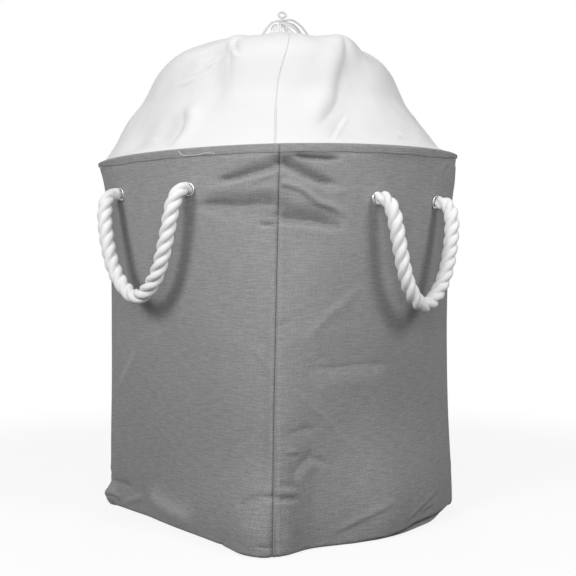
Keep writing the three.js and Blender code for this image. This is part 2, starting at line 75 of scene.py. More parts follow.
def lerp(start: Any, end: Any, share: Any) -> Any:
    """Value at a share of the way from start to end."""
    return start + (end - start) * share


def ease(low: float, high: float, value: Any) -> Any:
    """Smooth step from 0 at low to 1 at high."""
    share = np.clip((value - low) / (high - low), 0, 1)
    return share * share * (3 - 2 * share)


def bell(away: Any, spread: float) -> Any:
    """1 where away is 0, falling smoothly to almost nothing at twice the spread."""
    return np.exp(-((away / spread) ** 2))


def unit(vectors: Array) -> Array:
    """Vectors scaled to length 1 along their last axis."""
    return vectors / np.maximum(np.linalg.norm(vectors, axis=-1, keepdims=True), 1e-12)


def table(pairs: Pairs, value: Any) -> Any:
    """Value read from a table of pairs, straight between its rows."""
    rows = np.array(pairs)
    return np.interp(value, rows[:, 0], rows[:, 1])


def soft_table(pairs: Pairs, value: Any, blur: float = 0.06) -> Any:
    """Value read from a table of pairs with its corners rounded."""
    steps = np.linspace(-blur, blur, 9)
    weights = 1.2 * blur - np.abs(steps)
    read = [w * table(pairs, value + step) for w, step in zip(weights, steps)]
    return sum(read) / weights.sum()


def run_along(points: Array) -> Array:
    """Distance walked along a line to each of its points."""
    return np.concatenate([[0], np.cumsum(np.linalg.norm(np.diff(points, axis=0), axis=1))])


def circle(sides: int, radius: float = 1.0) -> Array:
    """Evenly spaced points round a circle, as pairs."""
    angle = np.linspace(0, math.tau, sides, endpoint=False)
    return np.column_stack([np.cos(angle), np.sin(angle)]) * radius


def even(points: Array, step: float) -> Array:
    """Points moved along their own line until they stand step apart."""
    run = run_along(points)
    count = max(int(round(run[-1] / step)), 2) + 1
    return np.column_stack(
        [np.interp(np.linspace(0, run[-1], count), run, axis) for axis in points.T]
    )


def soft_noise(across: Array, up: Array, cell: float, seed: int) -> Array:
    """Smooth seeded noise from -1 to 1 on a plane.

    Args:
        across: first coordinate of each point.
        up: second coordinate of each point.
        cell: size of one swelling.
        seed: chooses the pattern.

    Returns:
        One value for each point.
    """
    lattice = np.random.default_rng(seed).uniform(-1, 1, (64, 64))
    x, y = np.asarray(across) / cell, np.asarray(up) / cell
    i, j = np.floor(x).astype(int), np.floor(y).astype(int)
    a, b = ease(0, 1, x - i), ease(0, 1, y - j)
    at = lambda di, dj: lattice[(i + di) % 64, (j + dj) % 64]
    return lerp(lerp(at(0, 0), at(1, 0), a), lerp(at(0, 1), at(1, 1), a), b)


class Bend(Enum):
    """How a route is rounded between its points."""

    NATURAL = "natural"
    UNIFORM = "uniform"


def route(points: Sequence[Sequence[float]], bend: Bend, step: float) -> Array:
    """Smooth line through points, as the part's source draws it.

    Args:
        points: places that the line passes through.
        bend: rule for the tangents.
        step: distance between the points returned.

    Returns:
        Evenly spaced points.
    """
    base = np.array(points, float)
    ends = np.vstack([2 * base[0] - base[1], base, 2 * base[-1] - base[-2]])
    share = np.linspace(0, 1, 16, endpoint=False)[:, None]
    fine = []
    for p0, p1, p2, p3 in zip(ends, ends[1:], ends[2:], ends[3:]):
        if bend is Bend.NATURAL:
            d0, d1, d2 = (
                max(np.linalg.norm(b - a), 1e-9) ** 0.5 for a, b in ((p0, p1), (p1, p2), (p2, p3))
            )
            leave = ((p1 - p0) / d0 - (p2 - p0) / (d0 + d1) + (p2 - p1) / d1) * d1
            reach = ((p2 - p1) / d1 - (p3 - p1) / (d1 + d2) + (p3 - p2) / d2) * d1
        else:
            leave, reach = (p2 - p0) / 2, (p3 - p1) / 2
        fine.append(
            p1
            + leave * share
            + (3 * (p2 - p1) - 2 * leave - reach) * share**2
            + (2 * (p1 - p2) + leave + reach) * share**3
        )
    return even(np.vstack([*fine, base[-1:]]), step)


def line_frames(path: Array) -> tuple[Array, Array, Array]:
    """Direction ahead, to the side and up along a line, with no twist of their own."""
    ahead = unit(np.gradient(path, axis=0))
    side = np.zeros_like(path)
    first = np.cross(UP if abs(ahead[0][2]) < 0.9 else [1.0, 0, 0], ahead[0])
    side[0] = first / np.linalg.norm(first)
    for i in range(1, len(path)):
        turned = side[i - 1] - ahead[i] * (side[i - 1] @ ahead[i])
        side[i] = turned / np.linalg.norm(turned)
    return ahead, side, np.cross(ahead, side)


def linked(name: str, data: bpy.types.ID) -> bpy.types.Object:
    """A new object of the scene that holds a mesh, a lamp or a camera."""
    made = bpy.data.objects.new(name, data)
    bpy.context.scene.collection.objects.link(made)
    return made


@dataclass
class Shape:
    """A mesh in the making: its points, faces, cloth coordinates and named marks."""

    points: Array
    faces: list[Sequence[int]]
    cloth: Array | None = None
    marks: dict[str, Array] = field(default_factory=dict)

    def build(self, name: str) -> bpy.types.Object:
        """Turn the shape into an object whose place is in its mesh."""
        mesh = bpy.data.meshes.new(name)
        mesh.from_pydata(self.points.tolist(), [], [list(map(int, f)) for f in self.faces])
        mesh.polygons.foreach_set("use_smooth", [True] * len(mesh.polygons))
        if self.cloth is not None and len(mesh.loops):
            corner = np.zeros(len(mesh.loops), np.int32)
            mesh.loops.foreach_get("vertex_index", corner)
            layer = mesh.uv_layers.new(name="cloth")
            layer.data.foreach_set("uv", self.cloth[corner].astype(np.float32).ravel())
        for mark, values in self.marks.items():
            kind, key = ("FLOAT", "value") if values.ndim == 1 else ("FLOAT_VECTOR", "vector")
            layer = mesh.attributes.new(mark, kind, "POINT")
            layer.data.foreach_set(key, values.astype(np.float32).ravel())
        mesh.update()
        return linked(name, mesh)


def grid_faces(rows: int, columns: int, closed: bool = False) -> list[tuple[int, ...]]:
    """Quads of a grid stored row by row; closed joins the last column to the first."""
    wide = columns if closed else columns - 1
    return [
        (
            j * columns + i,
            j * columns + (i + 1) % columns,
            (j + 1) * columns + (i + 1) % columns,
            (j + 1) * columns + i,
        )
        for j in range(rows - 1)
        for i in range(wide)
    ]


def tube_faces(rings: int, sides: int) -> list[tuple[int, ...]]:
    """Faces of a tube stored ring by ring, with its two ends closed flat."""
    first = tuple(range(sides))
    last = tuple((rings - 1) * sides + i for i in first)
    return [*grid_faces(rings, sides, closed=True), first[::-1], last]


def ring_faces(rings: int, sides: int) -> list[tuple[int, ...]]:
    """Faces of a tube that is bent round until its last ring meets its first."""
    total = rings * sides
    quads = grid_faces(rings + 1, sides, closed=True)
    return [tuple(i % total for i in quad[::-1]) for quad in quads]


def disc_faces(rings: int, sides: int) -> list[tuple[int, ...]]:
    """Faces of rings that shrink towards a middle point, which comes last."""
    inner, middle = (rings - 1) * sides, rings * sides
    fan = [(inner + i, inner + (i + 1) % sides, middle) for i in range(sides)]
    return [*grid_faces(rings, sides, closed=True), *fan]


DOME_ANGLES = (0.4, 0.8, 1.15, 1.42)


def swept(path: Array, sections: Array, marks: dict[str, Array], rounded: bool = True) -> Shape:
    """A closed tube along a line.

    Args:
        path: line through the middle.
        sections: outline at each point of the line, as (side, up) pairs.
        marks: a value or vector for every corner of every section.
        rounded: whether both ends swell into a dome before they close.

    Returns:
        The tube, its rings in order.
    """
    ahead, side, rise = line_frames(path)
    rings = path[:, None] + side[:, None] * sections[..., :1] + rise[:, None] * sections[..., 1:]
    marks = dict(marks)
    for end, way in ((0, -1), (-1, 1)) if rounded else ():
        out = ahead[end] * way * np.linalg.norm(sections[end], axis=1).mean()
        spokes = rings[end] - path[end]
        domes = [path[end] + spokes * math.cos(a) + out * math.sin(a) for a in DOME_ANGLES]
        rings = np.concatenate((np.array(domes)[::way], rings)[::-way])
        for mark, values in marks.items():
            copied = np.repeat(values[end][None], len(domes), axis=0)
            marks[mark] = np.concatenate((copied, values)[::-way])
    count, sides = rings.shape[:2]
    flat = {m: v.reshape(count * sides, *v.shape[2:]) for m, v in marks.items()}
    return Shape(rings.reshape(-1, 3), tube_faces(count, sides), None, flat)


def round_tube(
    path: Array, width: float, sides: int, marks: dict[str, Array] | None = None,
    rounded: bool = True,
) -> Shape:
    """A tube of one width along a line, otherwise as swept."""
    sections = np.repeat(circle(sides, width / 2)[None], len(path), axis=0)
    return swept(path, sections, marks or {}, rounded)


def lay_marks(around: Array, run: Array) -> Array:
    """The mark lay for each corner of a tube: its place on its strand, and the run so far."""
    size = (len(run), len(around))
    flat = np.broadcast_to(around[None], (*size, 2))
    return np.concatenate([flat, np.broadcast_to(run[:, None, None], (*size, 1))], axis=2)


def settled(made: bpy.types.Object) -> bpy.types.Object:
    """Apply an object's modifiers into a plain mesh and drop them."""
    graph = bpy.context.evaluated_depsgraph_get()
    plain = bpy.data.meshes.new_from_object(made.evaluated_get(graph))
    made.modifiers.clear()
    old, made.data = made.data, plain
    bpy.data.meshes.remove(old)
    plain.name = made.name
    return made


def thickened(made: bpy.types.Object, cloth: float) -> bpy.types.Object:
    """Give a single skin its thickness, inwards, as a plain mesh."""
    solid = made.modifiers.new("Thickness", "SOLIDIFY")
    solid.thickness, solid.offset = cloth, -1
    return settled(made)


def grounded(made: bpy.types.Object) -> bpy.types.Object:
    """Lift what would reach under the floor."""
    flat = np.empty(len(made.data.vertices) * 3)
    made.data.vertices.foreach_get("co", flat)
    flat[2::3] = np.maximum(flat[2::3], 0)
    made.data.vertices.foreach_set("co", flat)
    return made


# Node trees


class Wire:
    """A socket of a node tree, with the operators that stand for Math nodes."""

    def __init__(self, board: "Board", socket: bpy.types.NodeSocket) -> None:
        """Hold the socket and the board it is on."""
        self.board, self.socket = board, socket

    def math(self, operation: str, *values: Any) -> "Wire":
        """One Math node on values."""
        return self.board.node("ShaderNodeMath", {"operation": operation}, dict(enumerate(values)))

    def __add__(self, other: Any) -> "Wire":
        """Sum."""
        return self.math("ADD", self, other)

    def __sub__(self, other: Any) -> "Wire":
        """Difference."""
        return self.math("SUBTRACT", self, other)

    def __rsub__(self, other: Any) -> "Wire":
        """Difference from a number."""
        return self.math("SUBTRACT", other, self)

    def __mul__(self, other: Any) -> "Wire":
        """Product."""
        return self.math("MULTIPLY", self, other)

    __radd__, __rmul__ = __add__, __mul__

    def __truediv__(self, other: Any) -> "Wire":
        """Quotient."""
        return self.math("DIVIDE", self, other)

    def __pow__(self, other: Any) -> "Wire":
        """Power."""
        return self.math("POWER", self, other)

    def sine(self) -> "Wire":
        """Sine of an angle."""
        return self.math("SINE", self)

    def above(self, low: float, high: float) -> "Wire":
        """Smooth step from 0 at low to 1 at high."""
        return self.board.node(
            "ShaderNodeMapRange",
            {"interpolation_type": "SMOOTHSTEP"},
            {"Value": self, "From Min": low, "From Max": high},
        )

    def stretched(self, across: float, up: float, ahead: float = 0.0) -> "Wire":
        """A vector with each axis scaled."""
        return self.board.node(
            "ShaderNodeVectorMath", {"operation": "MULTIPLY"}, {0: self, 1: (across, up, ahead)}
        )

    def part(self, axis: str) -> "Wire":
        """One component of a vector."""
        return self.board.node("ShaderNodeSeparateXYZ", {}, {0: self}, axis)


class Board:
    """A node tree being wired: every node on it comes from one method."""

    def __init__(self, tree: bpy.types.NodeTree) -> None:
        """Start on an empty tree."""
        self.tree = tree

    def node(
        self, kind: str, settings: dict[str, Any], values: dict[Any, Any], output: Any = 0
    ) -> Wire:
        """Add a node.

        Args:
            kind: the node's type.
            settings: its properties, set first.
            values: what goes into its sockets, by name or number: wires, numbers or tuples.
            output: name or number of the socket wanted.

        Returns:
            The wire from that socket.
        """
        made = self.tree.nodes.new(kind)
        for name, value in settings.items():
            setattr(made, name, value)
        for key, value in values.items():
            socket = made.inputs[key]
            if isinstance(value, Wire):
                self.tree.links.new(value.socket, socket)
            elif socket.type == "RGBA":
                socket.default_value = (*value[:3], 1)
            elif value is not None:
                socket.default_value = value
        return Wire(self, made.outputs[output]) if made.outputs else Wire(self, made.inputs[0])

    def noise(self, place: Wire, detail: float = 2.0, roughness: float = 0.5) -> Wire:
        """Noise of scale 1 over a place, from 0 to 1."""
        values = {"Vector": place, "Scale": 1.0, "Detail": detail, "Roughness": roughness}
        return self.node("ShaderNodeTexNoise", {}, values)

    def blend(self, share: Any, first: Any, second: Any) -> Wire:
        """Colour between two others."""
        mix = {"data_type": "RGBA", "clamp_factor": True}
        return self.node("ShaderNodeMix", mix, {0: share, 6: first, 7: second}, 2)

    def bump(self, height: Wire, strength: float, distance: float, under: Any = None) -> Wire:
        """Surface normal raised by a height."""
        values = {"Strength": strength, "Distance": distance, "Height": height, "Normal": under}
        return self.node("ShaderNodeBump", {}, values)

    def mark(self, name: str, output: str = "Fac") -> Wire:
        """A mark stored on the mesh."""
        return self.node("ShaderNodeAttribute", {"attribute_name": name}, {}, output)

    def place(self) -> Wire:
        """Where a point is on the object."""
        return self.node("ShaderNodeTexCoord", {}, {}, "Object")

    def cloth(self) -> Wire:
        """Where a point is on the flat cloth, in metres."""
        return self.node("ShaderNodeUVMap", {"uv_map": "cloth"}, {})

    def weave(self, cloth: Wire, thread: float) -> Wire:
        """Threads that pass over and under one another, from -1 to 1."""
        turn = math.pi / thread
        return (cloth.part("X") * turn).sine() * (cloth.part("Y") * turn).sine()

    def seen(self) -> Wire:
        """1 for what the camera or a mirror looks at, 0 for light on its way to the object."""
        eye = self.node("ShaderNodeLightPath", {}, {}, "Is Camera Ray")
        mirror = self.node("ShaderNodeLightPath", {}, {}, "Is Glossy Ray")
        return eye.math("MAXIMUM", eye, mirror)


Colour = tuple[float, float, float]


def grey(level: float, warmth: float = 0.0) -> Colour:
    """Linear colour of a grey written as 0 to 255, a little warmer or cooler."""
    value = ((level / 255 + 0.055) / 1.055) ** 2.4
    return (value * (1 + warmth), value, value * (1 - warmth))


def shaded(colour: Colour, share: float) -> Colour:
    """A colour made darker or paler, no channel past 1."""
    return tuple(min(channel * share, 1.0) for channel in colour)


@dataclass(frozen=True)
class Finish(ABC):
    """A surface finish that makes its own material once."""

    name: str

    def material(self) -> bpy.types.Material:
        """The finish's material, made at its first use."""
        made = bpy.data.materials.get(self.name)
        if made is None:
            made = bpy.data.materials.new(self.name)
            made.use_nodes = True
            made.node_tree.nodes.clear()
            board = Board(made.node_tree)
            shader = self.surface(board)
            board.node("ShaderNodeOutputMaterial", {}, {"Surface": shader})
        return made

    @abstractmethod
    def surface(self, board: Board) -> Wire:
        """Wire the finish and return its shader."""

    def principled(self, board: Board, **sockets: Any) -> Wire:
        """The main shader, its sockets given by name with _ for a space."""
        values = {name.replace("_", " "): value for name, value in sockets.items()}
        return board.node("ShaderNodeBsdfPrincipled", {}, values)


@dataclass(frozen=True)
class Canvas(Finish):
    """Plain-woven linen-look cloth: uneven threads, painted shade and highlight along folds,
    painted shade at the foot.
    """

    colour: Colour = grey(153)
    thread: float = 0.85 * MM
    uneven: float = 0.42
    # Share of the colour given to patchy tone and painted shade.
    painted_shade_and_tone: float = 0.4
    raised: float = 0.5
    roughness: float = 0.92
    # Height up to which painted shade darkens the foot of the wall.
    painted_shade_height: float = 330 * MM

    def surface(self, board: Board) -> Wire:
        """Wire the weave, the patchy tone and the painted shade."""
        place = board.cloth()
        weft = board.noise(place.stretched(55, 620), 3, 0.65)
        warp = board.noise(place.stretched(700, 60), 3, 0.65)
        fine = board.noise(place.stretched(560, 900), 2, 0.6)
        broad = board.noise(place.stretched(11, 8), 2, 0.5)
        thick = board.noise(place.stretched(38, 270), 2, 0.6)
        thin = board.noise(place.stretched(240, 42), 2, 0.6)
        grain = weft * 0.34 + warp * 0.15 + thick * 0.06 + thin * 0.03 + fine * 0.42
        pale = shaded(self.colour, 1 + self.uneven)
        cloth = board.blend(grain.above(0.36, 0.64), shaded(self.colour, 1 - self.uneven), pale)
        # Painted shade: the cloth is darker towards the foot of the wall.
        painted_foot_shade = (1 - board.place().part("Z").above(0.0, self.painted_shade_height)) * 0.5
        # Darker in fold valleys and paler on ridges from the press mark: painted shade and
        # highlight; the broad noise is patchy tone.
        shade = (broad - 0.5) * 0.11 + board.mark("press") * 0.5 - painted_foot_shade
        painted_shade_and_tone = board.blend(shade + 0.5, shaded(self.colour, 0.62), pale)
        weave = board.weave(place, self.thread) * 0.5 + grain * 1.1
        return self.principled(
            board,
            Base_Color=board.blend(self.painted_shade_and_tone, cloth, painted_shade_and_tone),
            Roughness=(1 - grain * 0.12) * self.roughness,
            Sheen_Weight=0.12,
            Sheen_Roughness=0.5,
            Specular_IOR_Level=0.25,
            Normal=board.bump(weave, self.raised, 0.4 * MM),
        )


@dataclass(frozen=True)
class Lining(Finish):
    """Thin smooth white cloth of the collar."""

    colour: Colour = grey(238)
    thread: float = 0.45 * MM

    def surface(self, board: Board) -> Wire:
        """Wire the fine weave, the soft crumple and the painted shade of the folds."""
        place = board.cloth()
        fine = board.noise(place.stretched(900, 900), 2, 0.6)
        crumple = board.noise(place.stretched(34, 26), 3, 0.55)
        broad = board.noise(place.stretched(9, 9), 1, 0.5)
        # Paler where folds stand out and darker in their valleys: painted highlight and shade; the
        # noise adds patchy tone.
        shade = board.mark("press") * 0.6 + (broad - 0.5) * 0.2 + (fine - 0.5) * 0.25 + 0.55
        weave = board.weave(place, self.thread) * 0.5 + fine
        soft = board.bump(crumple, 0.25, 4 * MM)
        return self.principled(
            board,
            Base_Color=board.blend(shade, shaded(self.colour, 0.93), self.colour),
            Roughness=0.78 + fine * 0.1,
            Specular_IOR_Level=0.25,
            Normal=board.bump(weave, 0.2, 0.2 * MM, soft),
        )


@dataclass(frozen=True)
class Spun(Finish):
    """Spun yarns laid round a strand or cord; the mark lay holds their place on it."""

    colour: Colour = grey(236)
    yarns: float = 9
    pitch: float = 30 * MM
    crossed: bool = False
    raised: float = 0.6
    height: float = 0.7 * MM

    def surface(self, board: Board) -> Wire:
        """Wire the yarns along the strand, with painted shade between them."""
        lay = board.mark("lay", "Vector")
        around = lay.math("ARCTAN2", lay.part("Y"), lay.part("X"))
        along = lay.part("Z") * (math.tau / self.pitch)
        ridge = (around * self.yarns + along).sine()
        if self.crossed:
            ridge = ridge * (around * self.yarns - along).sine()
        place = board.place()
        fuzz = board.noise(place.stretched(1100, 1100, 1100), 3, 0.75)
        drift = board.noise(place.stretched(60, 60, 60), 2, 0.5)
        depth = ridge * 0.5 + 0.5
        # Darker in the grooves between yarns, from the ridge depth: painted shade; fuzz and drift
        # add uneven tone.
        shade = depth * 0.45 + fuzz * 0.35 + drift * 0.25
        colour = board.blend(shade.above(0.1, 0.7), shaded(self.colour, 0.92), self.colour)
        return self.principled(
            board,
            Base_Color=colour,
            Roughness=0.84 + fuzz * 0.12,
            Sheen_Weight=0.2,
            Sheen_Roughness=0.6,
            Specular_IOR_Level=0.25,
            Normal=board.bump(depth + fuzz * 1.3, self.raised, self.height),
        )


@dataclass(frozen=True)
class Metal(Finish):
    """Bright or dull metal with handling marks."""

    colour: Colour = grey(206)
    roughness: float = 0.2

    def surface(self, board: Board) -> Wire:
        """Wire the marks in the plating."""
        place = board.place()
        rubbed = board.noise(place.stretched(420, 420, 420), 4, 0.65)
        lines = board.noise(place.stretched(300, 300, 2600), 2, 0.5)
        dull = shaded(self.colour, 0.82)
        return self.principled(
            board,
            Base_Color=board.blend(rubbed.above(0.35, 0.7), dull, self.colour),
            Metallic=1.0,
            Roughness=self.roughness + rubbed * 0.14 + lines * 0.06,
            Normal=board.bump(lines + rubbed, 0.08, 0.3 * MM),
        )


@dataclass(frozen=True)
class Sewing(Finish):
    """Twisted sewing thread."""

    colour: Colour = grey(170)

    def surface(self, board: Board) -> Wire:
        """Wire the thread's twist."""
        place = board.place()
        twist = board.noise(place.stretched(2400, 2400, 2400), 2, 0.6)
        return self.principled(
            board,
            Base_Color=board.blend(twist, shaded(self.colour, 0.72), self.colour),
            Roughness=0.7 + twist * 0.15,
            Normal=board.bump(twist, 0.4, 0.2 * MM),
        )


@dataclass(frozen=True)
class Cardboard(Finish):
    """Grey board of pressed fibres."""

    colour: Colour = grey(116, 0.04)

    def surface(self, board: Board) -> Wire:
        """Wire the pressed fibres."""
        place = board.place()
        fibre = board.noise(place.stretched(160, 900, 400), 4, 0.7)
        stain = board.noise(place.stretched(18, 18, 18), 2, 0.5)
        pressed = fibre * 0.7 + stain * 0.3
        return self.principled(
            board,
            Base_Color=board.blend(pressed, shaded(self.colour, 0.78), self.colour),
            Roughness=0.86 + fibre * 0.1,
            Normal=board.bump(fibre, 0.3, 0.4 * MM),
        )


@dataclass(frozen=True)
class StudioFloor(Finish):
    """White floor that keeps the soft shadow near the object and is plain white beyond it.

    shown is its grey to the camera and bounced its grey to the object. From near to far the
    shadow fades out, and least is the share of plain white that is there from the start.
    """

    shown: float = 1.0
    bounced: float = 0.08
    near: float = 0.62
    far: float = 1.15
    least: float = 0.84

    def surface(self, board: Board) -> Wire:
        """Wire the fade from shaded floor to plain white."""
        seen = board.seen()
        colour = board.blend(seen, (self.bounced,) * 3, (self.shown,) * 3)
        lit = board.node("ShaderNodeBsdfDiffuse", {}, {"Color": colour})
        white = board.node("ShaderNodeEmission", {}, {"Color": (1, 1, 1), "Strength": 1.0})
        place = board.place()
        reach = board.node("ShaderNodeVectorMath", {"operation": "LENGTH"}, {0: place}, "Value")
        fade = (reach.above(self.near, self.far) * (1 - self.least) + self.least) * seen
        return board.node("ShaderNodeMixShader", {}, {0: fade, 1: lit, 2: white})


CANVAS = Canvas("grey_canvas")
COLLAR_CLOTH = Lining("white_collar_cloth")
ROPE_YARN = Spun("white_rope_yarn", colour=grey(252), yarns=13, height=0.5 * MM)
CORD_YARN = Spun(
    "white_braided_cord", colour=grey(222), yarns=4, pitch=6 * MM, crossed=True, height=0.3 * MM
)
PLATED = Metal("plated_steel")
SPRING_WIRE = Metal("spring_wire", colour=grey(160), roughness=0.34)
SEAM_THREAD = Sewing("grey_seam_thread", colour=grey(112))
HEM_THREAD = Sewing("pale_hem_thread", colour=grey(186))
COLLAR_THREAD = Sewing("white_collar_thread", colour=grey(232))
BOARD = Cardboard("base_board_fibre")


# The form


@dataclass(frozen=True)
class Side:
    """One side of the bag: its quarter of the plan, and the eyelets of its handle."""

    name: str
    quarter: int
    way: int
    drop: float
    shares: tuple[float, float]


SIDES = (
    Side("front", 2, 1, 54 * MM, (0.317, 0.656)),
    Side("right", 3, -1, 65 * MM, (0.328, 0.622)),
    Side("back", 0, 1, 59 * MM, (0.322, 0.64)),
    Side("left", 1, -1, 59 * MM, (0.322, 0.64)),
)


@dataclass(frozen=True)
class BagForm:
    """The bag's plain form, as the part's source draws it: square below, pointed oval above."""

    base_reach: float = 246 * MM
    rim_height: float = 493 * MM
    rim_long: float = 258 * MM
    rim_short: float = 211 * MM
    waist: float = 6 * MM
    base_fullness: float = 1.05
    rim_fullness: float = 1.8
    pinch: float = 12
    flatten: float = 1.2
    hem_depth: float = 15 * MM
    wall_steps: int = 12
    wall_rows: int = 8
    rim_lean: float = 6 * MM
    rim_sway: float = 5 * MM
    lean_from: float = 240 * MM
    sway_from: float = 450 * MM
    lean_fade: float = 120 * MM
    seam_gap: float = 0.3 * MM
    seam_drift: float = -11 * MM
    drift_top: float = 480 * MM

    def drift(self, corner: int, height: Any) -> Any:
        """How far along the cloth a corner seam has wandered; only the one in view has."""
        in_view = corner % 4 == 3
        return self.seam_drift * (1 - height / self.drift_top) if in_view else height * 0.0

    def plan(self, turn: Any, long: Any, short: Any, fullness: Any) -> tuple[Any, Any]:
        """A point of the plan curve; turn runs from the pointed corner at the back right."""
        cos, sin = np.cos(turn), np.sin(turn)
        along = long * np.sign(cos) * np.abs(cos) ** (2 / fullness)
        across = short * np.sign(sin) * np.abs(sin) ** (2 / fullness)
        return (along - across) * DIAGONAL, (along + across) * DIAGONAL

    def point(self, turn: Any, height: Any, depth: Any = 0.0) -> Array:
        """A point of the smooth wall, depth inside its face."""
        rise = np.maximum(height, 0) / self.rim_height
        fullness = lerp(self.base_fullness, self.rim_fullness, rise**self.flatten)
        inset = depth * 2 ** (1 / fullness - 0.5)
        waist = self.waist * np.sin(np.pi * rise)
        long = lerp(self.base_reach, self.rim_long, rise**self.pinch)
        short = lerp(self.base_reach, self.rim_short, rise**self.flatten)
        x, y = self.plan(turn, long - waist - inset, short - inset, fullness)
        return np.stack(np.broadcast_arrays(x, y, height), axis=-1).astype(float)

    def stepped(self, turn: float, height: float) -> Array:
        """A point of the wall as the part's facets have it."""
        step = QUARTER / self.wall_steps
        top = self.rim_height - self.hem_depth
        rows = [*np.linspace(0, top, self.wall_rows + 1), self.rim_height]
        high = max(int(np.searchsorted(rows, height)), 1)
        rise = (height - rows[high - 1]) / (rows[high] - rows[high - 1])
        facet = math.floor(turn / step)
        first, part = facet * step, turn / step - facet
        low, above = (
            lerp(self.point(first, row), self.point(first + step, row), part)
            for row in (rows[high - 1], rows[high])
        )
        return lerp(low, above, rise)

    def shift(self, side: Side) -> Array:
        """How far a side stands out from its neighbours for the seam."""
        way = (side.quarter + 1) * QUARTER
        return self.seam_gap * DIAGONAL * np.array([math.cos(way), math.sin(way), 0])

    def lean(self, points: Array) -> Array:
        """Points lowered at the left of the view and raised at the right, as the rim hangs."""
        out = points.copy()
        sideways = (points[..., 0] + points[..., 1]) * DIAGONAL / self.rim_long
        height, top = points[..., 2], self.rim_height
        fade = 1 - ease(top, top + self.lean_fade, height)
        out[..., 2] += self.rim_lean * sideways * ease(self.lean_from, top, height) * fade
        sway = self.rim_sway * np.maximum(sideways, 0) ** 2 * DIAGONAL
        out[..., :2] -= (sway * ease(self.sway_from, top, height) * fade)[..., None]
        return out


FORM = BagForm()
FLANGE = 17.6 * MM
ROPE_PIVOT = 15 * MM


@dataclass(frozen=True)
class Seat:
    """Where an eyelet stands on its wall, and which way it faces."""

    point: Array
    normal: Array

    @staticmethod
    def of(side: Side, share: float) -> "Seat":
        """The seat of a side's eyelet, on the part's own facets."""
        turn = (side.quarter + (share if side.way > 0 else 1 - share)) * QUARTER
        height = FORM.rim_height - side.drop
        patch, sweep = FLANGE / 2, FLANGE / 2 / FORM.rim_short
        round_ = FORM.stepped(turn + sweep, height) - FORM.stepped(turn - sweep, height)
        rising = FORM.stepped(turn, height + patch) - FORM.stepped(turn, height - patch)
        normal = unit(np.cross(round_, rising))
        return Seat(FORM.stepped(turn, height) + FORM.shift(side), normal)

    def out(self, distance: float) -> Array:
        """A point straight out from the seat."""
        return self.point + self.normal * distance


CREASE_POWER = 1.3
FOLD_REACH = 3


@dataclass(frozen=True)
class Fold:
    """A fold or crease pressed into cloth.

    path holds (share across, height or share up) pairs. valley is the depth of the pressed line,
    width how far it reaches to the left of the path's direction and far how far to the right;
    both narrow to the share taper at the path's end. ridge lifts the cloth beside it, offset to
    the left and spread wide. fade gives the shares of the path over which its ends die.
    """

    path: Pairs
    valley: float
    width: float
    ridge: float = 0.0
    offset: float = 0.0
    spread: float = 6.0
    fade: tuple[float, float] = (0.25, 0.4)
    far: float = 0.0
    taper: float = 1.0

    def drawn(self, step: float) -> Array:
        """The fold's path, rounded where it has more than two points."""
        return route(self.path, Bend.NATURAL, step) if len(self.path) > 2 else np.array(self.path)

    def press(self, points: Array, normals: Array, line: Array) -> Array:
        """How far the fold moves each point along its normal.

        Args:
            points: the cloth's points.
            normals: the cloth's normals there.
            line: the fold's path on the cloth.

        Returns:
            One distance in metres for each point.
        """
        reach = FOLD_REACH * max(self.width, self.far, abs(self.offset) + self.spread) * MM
        near = np.all((points > line.min(0) - reach) & (points < line.max(0) + reach), axis=1)
        out = np.zeros(len(points))
        if not near.any():
            return out
        spots, facing = points[near], normals[near]
        best = np.full(len(spots), np.inf)
        hand, place = np.ones(len(spots)), np.zeros(len(spots))
        runs = np.diff(line, axis=0)
        for k, run in enumerate(runs):
            away = spots - line[k]
            part = np.clip(away @ run / (run @ run), 0, 1)
            gap = away - part[:, None] * run
            distance = np.linalg.norm(gap, axis=1)
            closer = distance < best
            best[closer] = distance[closer]
            place[closer] = (k + part[closer]) / len(runs)
            hand[closer] = np.sign(np.sum(gap * np.cross(facing, run), axis=1))[closer]
        beside = best * hand / MM
        wide = np.where(beside > 0, self.width, self.far or self.width)
        wide = wide * lerp(1, self.taper, place)
        depth = -self.valley * np.exp(-(np.abs(beside / wide) ** CREASE_POWER))
        depth = depth + self.ridge * bell(beside - self.offset, self.spread)
        start, end = self.fade
        alive = ease(0, start, place) if start else 1.0
        alive = alive * (ease(0, end, 1 - place) if end else 1.0)
        out[near] = depth * alive * MM
        return out


@dataclass(frozen=True)
class Crumple:
    """One layer of a cloth's seeded unevenness.

    cell is the size of one swelling and height how far it stands out. step is added to the seed
    that press is given, and across and up turn its coordinates into metres of the pattern.
    """

    cell: float
    height: float
    step: int = 0
    across: float = 1.0
    up: float = 1.0

    def press(self, across: Array, up: Array, seed: int = 0) -> Array:
        """How far it moves each point outwards."""
        noise = soft_noise(across * self.across, up * self.up, self.cell, seed + self.step)
        return noise * self.height


